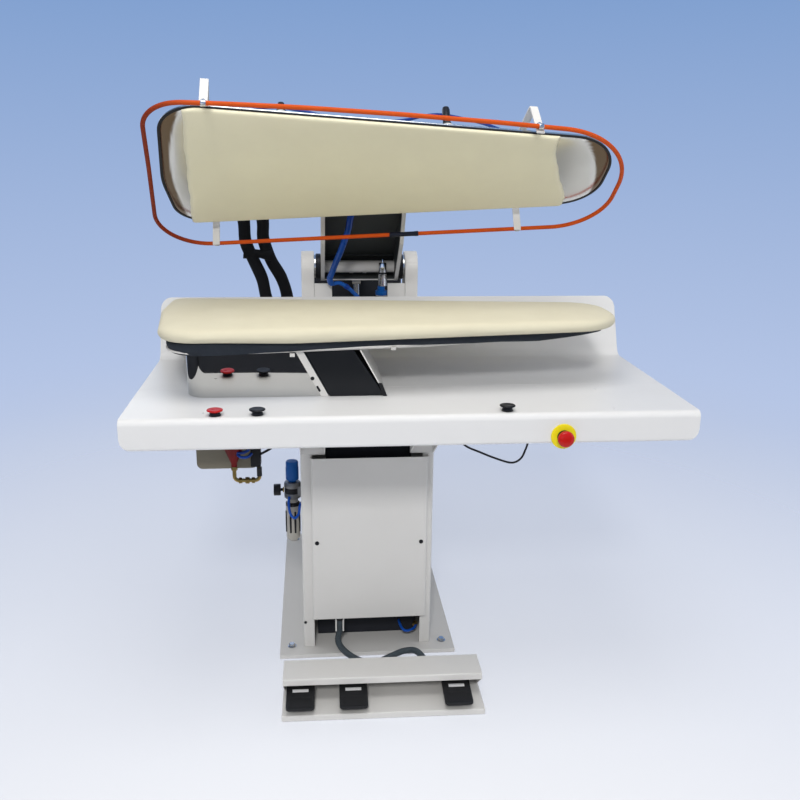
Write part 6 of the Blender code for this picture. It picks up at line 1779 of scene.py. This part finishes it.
@dataclass
class Pedals:
    """The pedal unit on the floor, turned a little.

    Attributes:
        shop: Where the pieces are made.
        origin, turn: Origin of the unit's own frame, and its turn in degrees.
        hinge, tilt: Distance back and height of the hinge line in that frame, and the pedals' rise in degrees.
        pedals: Name, place and body of each pedal.
        half, length, thick: Half of a pedal's width, its length and half of its thickness.
        field_ends: Distances of the ribbed field's near and far ends from the pedal's tip.
        label: Left, near, right and far edge of the bare label strip.
    """

    shop: Workshop
    origin: Triple = (0.0255, -0.6675, 0.0)
    turn: float = -0.9
    tilt: float = 7.0
    hinge: Pair = (0.0535, 0.056)
    pedals: tuple[tuple[str, float, Body], ...] = (
        ("left_pedal", -0.197, Body.LEFT_PEDAL),
        ("middle_pedal", -0.055, Body.MIDDLE_PEDAL),
        ("right_pedal", 0.226, Body.RIGHT_PEDAL),
    )
    half: float = 0.0378
    length: float = 0.139
    thick: float = 0.0042
    field_ends: Pair = (0.006, 0.046)
    label: tuple[float, ...] = (-0.0215, -0.0745, 0.0215, -0.064)

    def build(self) -> None:
        """Makes every piece of the pedal unit."""
        self.shop.dress(WHITE, 0.0004, "pedal_tray", segments=1)
        self.shop.dress(WHITE, 0.0005, "pedal_hood", segments=1)
        self.shop.dress(STEEL, 0.0, "pedal_shaft")
        for name, x, body in self.pedals:
            self.pedal(name, x, body)

    def place(self, x: float) -> Matrix:
        """Matrix from a pedal's own frame, with its hinge on the X axis, to the row frame.

        Args:
            x: The pedal's place across.

        Returns:
            The 4 x 4 matrix.
        """
        unit = Matrix.Translation(self.origin) @ Matrix.Rotation(math.radians(self.turn), 4, "Z")
        hinge = Matrix.Translation((x - self.origin[0], *self.hinge))
        return unit @ hinge @ Matrix.Rotation(math.radians(self.tilt), 4, "X")

    def tread(self) -> Geometry:
        """One treadle in its own frame: a rounded plate, a rim round the field of cross ribs, and the barrel.

        Returns:
            The treadle's mesh.
        """
        half, length, thick = self.half, self.length, self.thick
        plan = rounded(rectangle(-half, -length, half, 0), (0.01, 0.01, 0.001, 0.001), 8, 2)
        centre = np.array((0, -length / 2))
        rings = []
        for inset, height in ((0.0012, -thick), (0.0, -thick + 0.0012), (0.0, thick - 0.0015), (0.0015, thick)):
            scale = np.array((1 - inset / half, 1 - 2 * inset / length))
            rings.append(level(centre + (plan - centre) * scale, height))
        inner = half - 0.005
        near, far = (reach - length for reach in self.field_ends)
        rim = rounded(rectangle(-inner, near, inner, far), (0.005,) * 4, 6, 2)
        parts = [loft(rings), extruded(rim, "z", thick - 0.001, thick + 0.0008)]
        inner -= 0.004
        for y in np.linspace(near + 0.006, far - 0.006, 8):
            ridge = rounded(rectangle(-inner, y - 0.0016, inner, y + 0.0016), (0.0015,) * 4, 4, 2)
            parts.append(extruded(ridge, "z", thick, thick + 0.0014))
        barrel = ((0.0049, -half), (0.0095, -half), (0.0095, half), (0.0049, half))
        return Geometry.merged((*parts, lathe(barrel, axis=(1, 0, 0), steps=24)))

    def pedal(self, name: str, x: float, body: Body) -> None:
        """A rubber-faced treadle and its bare label strip.

        Args:
            name: The pedal's node.
            x: Its place across.
            body: The body that both pieces ride on.
        """
        place = self.place(x)
        self.shop.piece(f"{name}_tread", self.tread().moved(place), RUBBER, body, [name])
        strip = rounded(rectangle(*self.label), (0.001,) * 4, 3, 2)
        label = extruded(strip, "z", self.thick - 0.0005, self.thick + 0.0012)
        self.shop.piece(f"{name}_label", label.moved(place), LABEL, body)


@dataclass
class Hoses:
    """Cords, hoses and tubes, on the routes of their CAD solids.

    Attributes:
        shop: Where the pieces are made.
        conduit_route, cable_route: Routes of the pedals' conduit and of the emergency stop's cable.
        steam_hoses, steam_rise: Name, root on the closed head and open route of each steam hose; its straight start.
        arm_root, arm_route: Start of the arm hose on the closed head, and its open route from there.
        gland_profile: The conduit's gland, turned about its axis.
    """

    shop: Workshop
    conduit_route: Route = (
        (-0.083, -0.388, 0.0975), (-0.083, -0.388, 0.08), (-0.083, -0.381, 0.056), (-0.0885, -0.394, 0.034),
        (-0.08, -0.425, 0.0258), (-0.055, -0.46, 0.019), (-0.018, -0.482, 0.0105), (0.022, -0.488, 0.0102),
        (0.062, -0.474, 0.018), (0.106, -0.466, 0.03), (0.142, -0.482, 0.035), (0.166926, -0.563106, 0.036),
        (0.166478, -0.591602, 0.036),
    )
    cable_route: Route = (
        (0.447, -0.7624, 0.799), (0.43, -0.744, 0.799), (0.405, -0.722, 0.788), (0.389, -0.706, 0.765),
        (0.382, -0.7, 0.736), (0.37, -0.7, 0.709), (0.347, -0.7, 0.698), (0.309, -0.7, 0.709),
        (0.264, -0.7, 0.728), (0.226, -0.697, 0.746), (0.212, -0.66, 0.764), (0.202, -0.62, 0.782),
        (0.1936, -0.6, 0.794),
    )
    steam_hoses: tuple[tuple[str, Pair, Route], ...] = (
        ("left_steam_hose", (-0.375, -0.33), (
            (-0.374, -0.12, 1.462), (-0.372, -0.03, 1.43), (-0.366, 0.04, 1.34), (-0.36, 0.085, 1.233),
            (-0.358, 0.102, 1.17), (-0.336, 0.113, 1.112), (-0.311, 0.125, 1.05), (-0.3, 0.135, 0.988),
            (-0.276, 0.138, 0.9), (-0.25, 0.14, 0.81), (-0.205, 0.14, 0.735), (-0.16, 0.14, 0.69),
        )),
        ("right_steam_hose", (-0.318, -0.33), (
            (-0.314, -0.12, 1.462), (-0.311, -0.03, 1.43), (-0.306, 0.04, 1.34), (-0.301, 0.085, 1.233),
            (-0.302, 0.105, 1.178), (-0.281, 0.125, 1.11), (-0.25, 0.145, 1.05), (-0.233, 0.16, 0.987),
            (-0.228, 0.176, 0.9), (-0.222, 0.19, 0.83), (-0.195, 0.205, 0.77), (-0.155, 0.215, 0.725),
        )),
    )
    steam_rise: float = 0.045
    arm_root: Route = ((-0.022, -0.212, 1.1263), (-0.022, -0.212, 1.1143), (-0.022, -0.212, 1.0983))
    arm_route: Route = (
        (-0.035, -0.118, 1.263), (-0.04, -0.09, 1.226), (-0.061, -0.04, 1.158), (-0.076, -0.005, 1.117),
        (-0.087, 0.028, 1.082), (-0.094, 0.052, 1.057), (-0.086, 0.066, 1.041), (-0.064, 0.072, 1.043),
        (-0.04, 0.078, 1.03), (-0.017, 0.092, 1.008), (0.0, 0.108, 0.986), (-0.009, 0.125, 0.957),
        (-0.05, 0.138, 0.92), (-0.07, 0.145, 0.862), (-0.074, 0.146, 0.8),
    )
    gland_profile: Profile = (
        (0.0105, 0.099), (0.0132, 0.099), (0.015, 0.104), (0.015, 0.112), (0.0185, 0.1135), (0.019, 0.119),
        (0.019, 0.13), (0.0178, 0.133), (0.0105, 0.133),
    )

    def build(self) -> None:
        """Makes every cord, hose and tube."""
        self.conduit()
        self.cable()
        up = opened(np.array((0, 0, 1)) + PIVOT) - PIVOT
        for name, root, route in self.steam_hoses:
            start = opened(np.array((*root, PLATE_HIGH + 0.0006)))
            self.steam_hose(name, [start, start + up * self.steam_rise, *map(np.array, route)])
        self.arm_hose()
        gland = lathe(self.gland_profile, (*self.conduit_route[0][:2], 0), steps=32)
        self.shop.piece("gland_body", gland, BLACK, replaces=["conduit_gland"])

    def arm_hose(self) -> None:
        """The blue hose under the arm: thicker and darker down to its low bend, then thinner past a dark collar."""
        path = smooth_route([*opened(np.array(self.arm_root)), *self.arm_route], 0.005)
        along = np.linspace(0, 1, len(path))
        bend, collar = (
            along[np.argmin(np.linalg.norm(path - np.array(self.arm_route[knot]), axis=1))] for knot in (6, 8)
        )
        at_collar = np.abs(along - collar) < 0.011
        hose = sweep(path, np.where(along < bend, 0.0098, 0.0064) + 0.0022 * at_collar, 18)
        hose.values["shade"] = np.repeat(np.where(at_collar, 1.0, np.clip(1.25 - 1.2 * along / bend, 0, 1)), 18)
        self.bending("arm_hose_run", hose, ARM_TUBE, ["arm_air_hose"])

    def bending(self, name: str, shape: Geometry, finish: Finish, nodes: Sequence[str] = ()) -> None:
        """Makes a piece on no body, with its transform baked in; its path runs from the head, its first point, to the
        frame, its last.
        """
        obj = self.shop.piece(name, shape, finish, None, nodes, sharp=80)
        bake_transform(obj)

    @staticmethod
    def length(path: Array) -> float:
        """Length of a polyline."""
        return float(np.linalg.norm(np.diff(path, axis=0), axis=1).sum())

    def conduit(self) -> None:
        """Corrugated conduit: the radius waves as r(s) = r0 + a cos(2 pi s / pitch)."""
        path = smooth_route(self.conduit_route, 0.0007)
        along = np.concatenate(((0,), np.cumsum(np.linalg.norm(np.diff(path, axis=0), axis=1))))
        radius = 0.009 + 0.0005 * np.cos(along * math.tau / 0.0042)
        obj = self.shop.piece("conduit_run", sweep(path, radius, 20), CONDUIT, replaces=["pedal_conduit"], sharp=80)
        self.length(path)

    def cable(self) -> None:
        """The thin cable from the emergency stop to the column."""
        path = smooth_route(self.cable_route, 0.004)
        obj = self.shop.piece("switch_lead", sweep(path, 0.0026, 12), RUBBER, replaces=["switch_cable"], sharp=80)
        self.length(path)

    def steam_hose(self, name: str, knots: Sequence[Array]) -> None:
        """One thick sleeved hose from the head down into the column.

        The radius waves faintly along the hose. The left hose carries the joint piece between the two.

        Args:
            name: The hose's node.
            knots: Points that it passes through, from the head on.
        """
        path = smooth_route(knots, 0.012)
        if name == self.steam_hoses[0][0]:
            x = np.linspace(-0.366, -0.278, 12)
            bridge = np.column_stack((x, 0.104 + 0.004 * (x + 0.38) / 0.08, 1.136 - 0.1 * (x + 0.36)))
            swell = 0.0165 + 0.0035 * np.cos(np.linspace(0, math.tau, 12))
            self.bending("hose_joint", sweep(bridge, swell, 20), SLEEVE)
        along = np.linspace(0, self.length(path), len(path))
        radius = 0.0194 + 0.0004 * np.sin(along * 61)
        self.bending(f"{name}_run", sweep(path, radius, 24), SLEEVE, [name])


# Stage


@dataclass
class Stage:
    """Floor, light and the photograph's camera.

    Attributes:
        place, turn: The camera's place, and its heading, tilt and roll in degrees.
        lens: Focal length in millimetres on a 36 mm sensor.
        backdrop: Heights of view and colours of the backdrop, from low to high.
        floor_colour, floor_share: Colour of the floor, and the share of it that shows near the object.
        floor_fade: Distances between which the floor fades into the backdrop.
        flag_cards: Lowest and highest corner of the dark cards that only reflections see.
        sky: Strength of the neutral sky that lights the object.
        lamps, unmirrored: Name, place, aim, size, power and colour of each lamp, and which one isn't reflected.
    """

    place: Triple = (-0.148, -2.8106, 1.4641)
    turn: Triple = (-5.6455, 90 - 15.7138, 0.6685)
    lens: float = 40.428
    backdrop: tuple[tuple[float, Triple], ...] = (
        (-0.64, (0.93, 0.94, 0.985)), (-0.27, (0.485, 0.578, 0.8)), (0.144, (0.223, 0.356, 0.631)),
    )
    floor_colour: Triple = (0.8, 0.82, 0.87)
    floor_share: float = 0.42
    floor_fade: Pair = (0.7, 4.0)
    flag_cards: tuple[tuple[Triple, Triple], ...] = (
        ((-2.0, -2.22, 0.02), (1.7, -2.2, 0.78)),
        ((-2.02, -2.22, 0.02), (-2.0, 1.5, 0.78)),
    )
    sky: float = 0.36
    lamps: tuple[tuple[str, Triple, Triple, float, float, Triple], ...] = (
        ("overhead", (-0.1, -1.35, 3.7), (0.05, -0.45, 0.9), 1.8, 54.0, (1.0, 0.985, 0.96)),
        ("key", (-0.9, -7.4, 5.6), (0.0, -0.4, 0.7), 1.1, 285.0, (1.0, 0.99, 0.975)),
        ("front", (-1.2, -3.9, 1.0), (0.0, -0.4, 1.2), 2.6, 11.0, (1.0, 0.99, 0.98)),
        ("right", (3.2, -1.2, 2.0), (0.0, 0.0, 0.8), 1.8, 11.0, (0.95, 0.97, 1.0)),
        ("back", (-1.5, 3.2, 2.6), (0.0, 0.0, 1.0), 2.2, 20.0, (1.0, 1.0, 1.0)),
    )
    unmirrored: str = "key"

    def build(self) -> None:
        """Sets the whole stage."""
        self.camera()
        self.floor()
        self.flag()
        self.world()
        self.lights()

    def camera(self) -> None:
        """The camera fitted to the photograph: in front, a little to the left, looking slightly down."""
        data = bpy.data.cameras.new("camera")
        data.sensor_width = 36.0
        data.lens = self.lens
        data.clip_end = 200
        obj = bpy.data.objects.new("camera", data)
        bpy.context.scene.collection.objects.link(obj)
        heading, tilt, roll = map(math.radians, self.turn)
        obj.matrix_world = (
            Matrix.Translation(self.place)
            @ Matrix.Rotation(heading, 4, "Z")
            @ Matrix.Rotation(tilt, 4, "X")
            @ Matrix.Rotation(roll, 4, "Z")
        )
        bpy.context.scene.camera = obj

    @staticmethod
    def seen(n: Nodes) -> bpy.types.NodeSocket:
        """1 for camera, glossy and transmission rays, else 0.

        Args:
            n: The nodes of the world or of a material.

        Returns:
            The output that says so.
        """
        path = n.add("ShaderNodeLightPath")
        first = n.math("MAXIMUM", path.outputs["Is Camera Ray"], path.outputs["Is Glossy Ray"])
        return n.math("MAXIMUM", first, path.outputs["Is Transmission Ray"])

    def floor(self) -> None:
        """A wide pale floor that keeps the shadow near the object and fades into the backdrop.

        To camera, glossy and transmission rays it shows its own shade by the share f (1 - smoothstep(r)), and the
        backdrop through the rest. To all other rays it is a plain matt floor.
        """
        steps = 96
        angle = np.linspace(0, math.tau, steps, endpoint=False)
        around = np.column_stack((np.cos(angle), np.sin(angle)))
        rings = [level(radius * around, -0.0004) for radius in (0.02, 1.0, 3.0, 6.0, 12.0, 25.0, 50.0)]
        faces = wrapped_faces(len(rings), steps, closed=False, caps=False) + [tuple(reversed(range(steps)))]
        made = self.prop("studio_floor", Geometry(np.vstack(rings), faces)).active_material
        n = Nodes(made.node_tree)
        shader = made.node_tree.nodes["Principled BSDF"]
        n.put(shader, Base_Color=(*self.floor_colour, 1), Roughness=0.9, Specular_IOR_Level=0.1)
        reach = n.add("ShaderNodeVectorMath", operation="LENGTH")
        n.link(n.add("ShaderNodeTexCoord").outputs["Object"], reach.inputs[0])
        fade = n.add(
            "ShaderNodeMapRange", interpolation_type="SMOOTHSTEP", From_Min=self.floor_fade[0],
            From_Max=self.floor_fade[1], To_Min=1 - self.floor_share, To_Max=1.0,
        )
        n.wire(reach, "Value", fade, "Value")
        clear = n.add("ShaderNodeBsdfTransparent")
        mix = n.add("ShaderNodeMixShader")
        n.link(n.math("MULTIPLY", self.seen(n), fade.outputs["Result"]), mix.inputs["Fac"])
        n.wire(shader, "BSDF", mix, 1)
        n.wire(clear, "BSDF", mix, 2)
        n.link(mix.outputs["Shader"], made.node_tree.nodes["Material Output"].inputs["Surface"])

    def flag(self) -> None:
        """Dark studio cards low in front and at the left, seen only in the polished steel."""
        obj = self.prop("studio_flag", Geometry.merged(box(low, high) for low, high in self.flag_cards))
        shader = obj.active_material.node_tree.nodes["Principled BSDF"]
        shader.inputs["Base Color"].default_value = (0.012, 0.013, 0.018, 1)
        obj.visible_camera = obj.visible_diffuse = obj.visible_shadow = obj.visible_transmission = False

    def prop(self, name: str, geometry: Geometry) -> bpy.types.Object:
        """Makes a mesh of the stage with a new material of its own.

        Args:
            name: Name of the object, its mesh and its material.
            geometry: Its shape.

        Returns:
            The object.
        """
        obj = mesh_object(name, geometry)
        made = bpy.data.materials.new(name)
        made.use_nodes = True
        obj.data.materials.append(made)
        return obj

    def world(self) -> None:
        """A pale blue backdrop for the camera and in the metal, and a neutral soft sky for the light."""
        world = bpy.data.worlds.new("studio")
        bpy.context.scene.world = world
        world.use_nodes = True
        n = Nodes(world.node_tree)
        background = world.node_tree.nodes["Background"]
        split = n.add("ShaderNodeSeparateXYZ")
        low, high = self.backdrop[0][0], self.backdrop[-1][0]
        climb = n.add("ShaderNodeMapRange", From_Min=low, From_Max=high)
        ramp = n.add("ShaderNodeValToRGB")
        stops = ramp.color_ramp.elements
        for _ in self.backdrop[2:]:
            stops.new(0.5)
        for stop, (height, colour) in zip(stops, self.backdrop):
            stop.position = (height - low) / (high - low)
            stop.color = (*colour, 1)
        soft = n.add("ShaderNodeBackground", Color=(0.94, 0.96, 1.0, 1), Strength=self.sky)
        mix = n.add("ShaderNodeMixShader")
        n.link(n.add("ShaderNodeTexCoord").outputs["Generated"], split.inputs["Vector"])
        n.wire(split, "Z", climb, "Value")
        n.wire(climb, "Result", ramp, "Fac")
        n.wire(ramp, "Color", background, "Color")
        n.link(self.seen(n), mix.inputs["Fac"])
        n.wire(soft, "Background", mix, 1)
        n.wire(background, "Background", mix, 2)
        n.link(mix.outputs["Shader"], world.node_tree.nodes["World Output"].inputs["Surface"])

    def lights(self) -> None:
        """A broad lamp overhead, a far one high in front, and weak ones from the front, the right and behind."""
        for name, place, aim, size, power, colour in self.lamps:
            data = bpy.data.lights.new(name, "AREA")
            data.shape = "SQUARE"
            data.size = size
            data.energy = power
            data.color = colour
            obj = bpy.data.objects.new(name, data)
            bpy.context.scene.collection.objects.link(obj)
            obj.location = place
            obj.rotation_mode = "QUATERNION"
            obj.rotation_quaternion = (Vector(aim) - Vector(place)).to_track_quat("-Z", "Y")
            obj.visible_glossy = name != self.unmirrored


def clear_scene() -> None:
    """Empties the file of its default objects."""
    for obj in list(bpy.data.objects):
        bpy.data.objects.remove(obj, do_unlink=True)


def main() -> None:
    """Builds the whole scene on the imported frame."""
    logging.basicConfig(level=logging.INFO)
    clear_scene()
    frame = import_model()
    bpy.context.scene.view_settings.view_transform = "Standard"
    shop = Workshop(frame["nodes"])
    Stage().build()
    for maker in (Hoses, Column, Table, Buck, Arm, Head, Pedals):
        first = len(shop.made)
        maker(shop).build()
        for name in shop.made[first:]:
            LOG.info("%s: %s", maker.__name__, name)


if __name__ == "__main__":
    main()
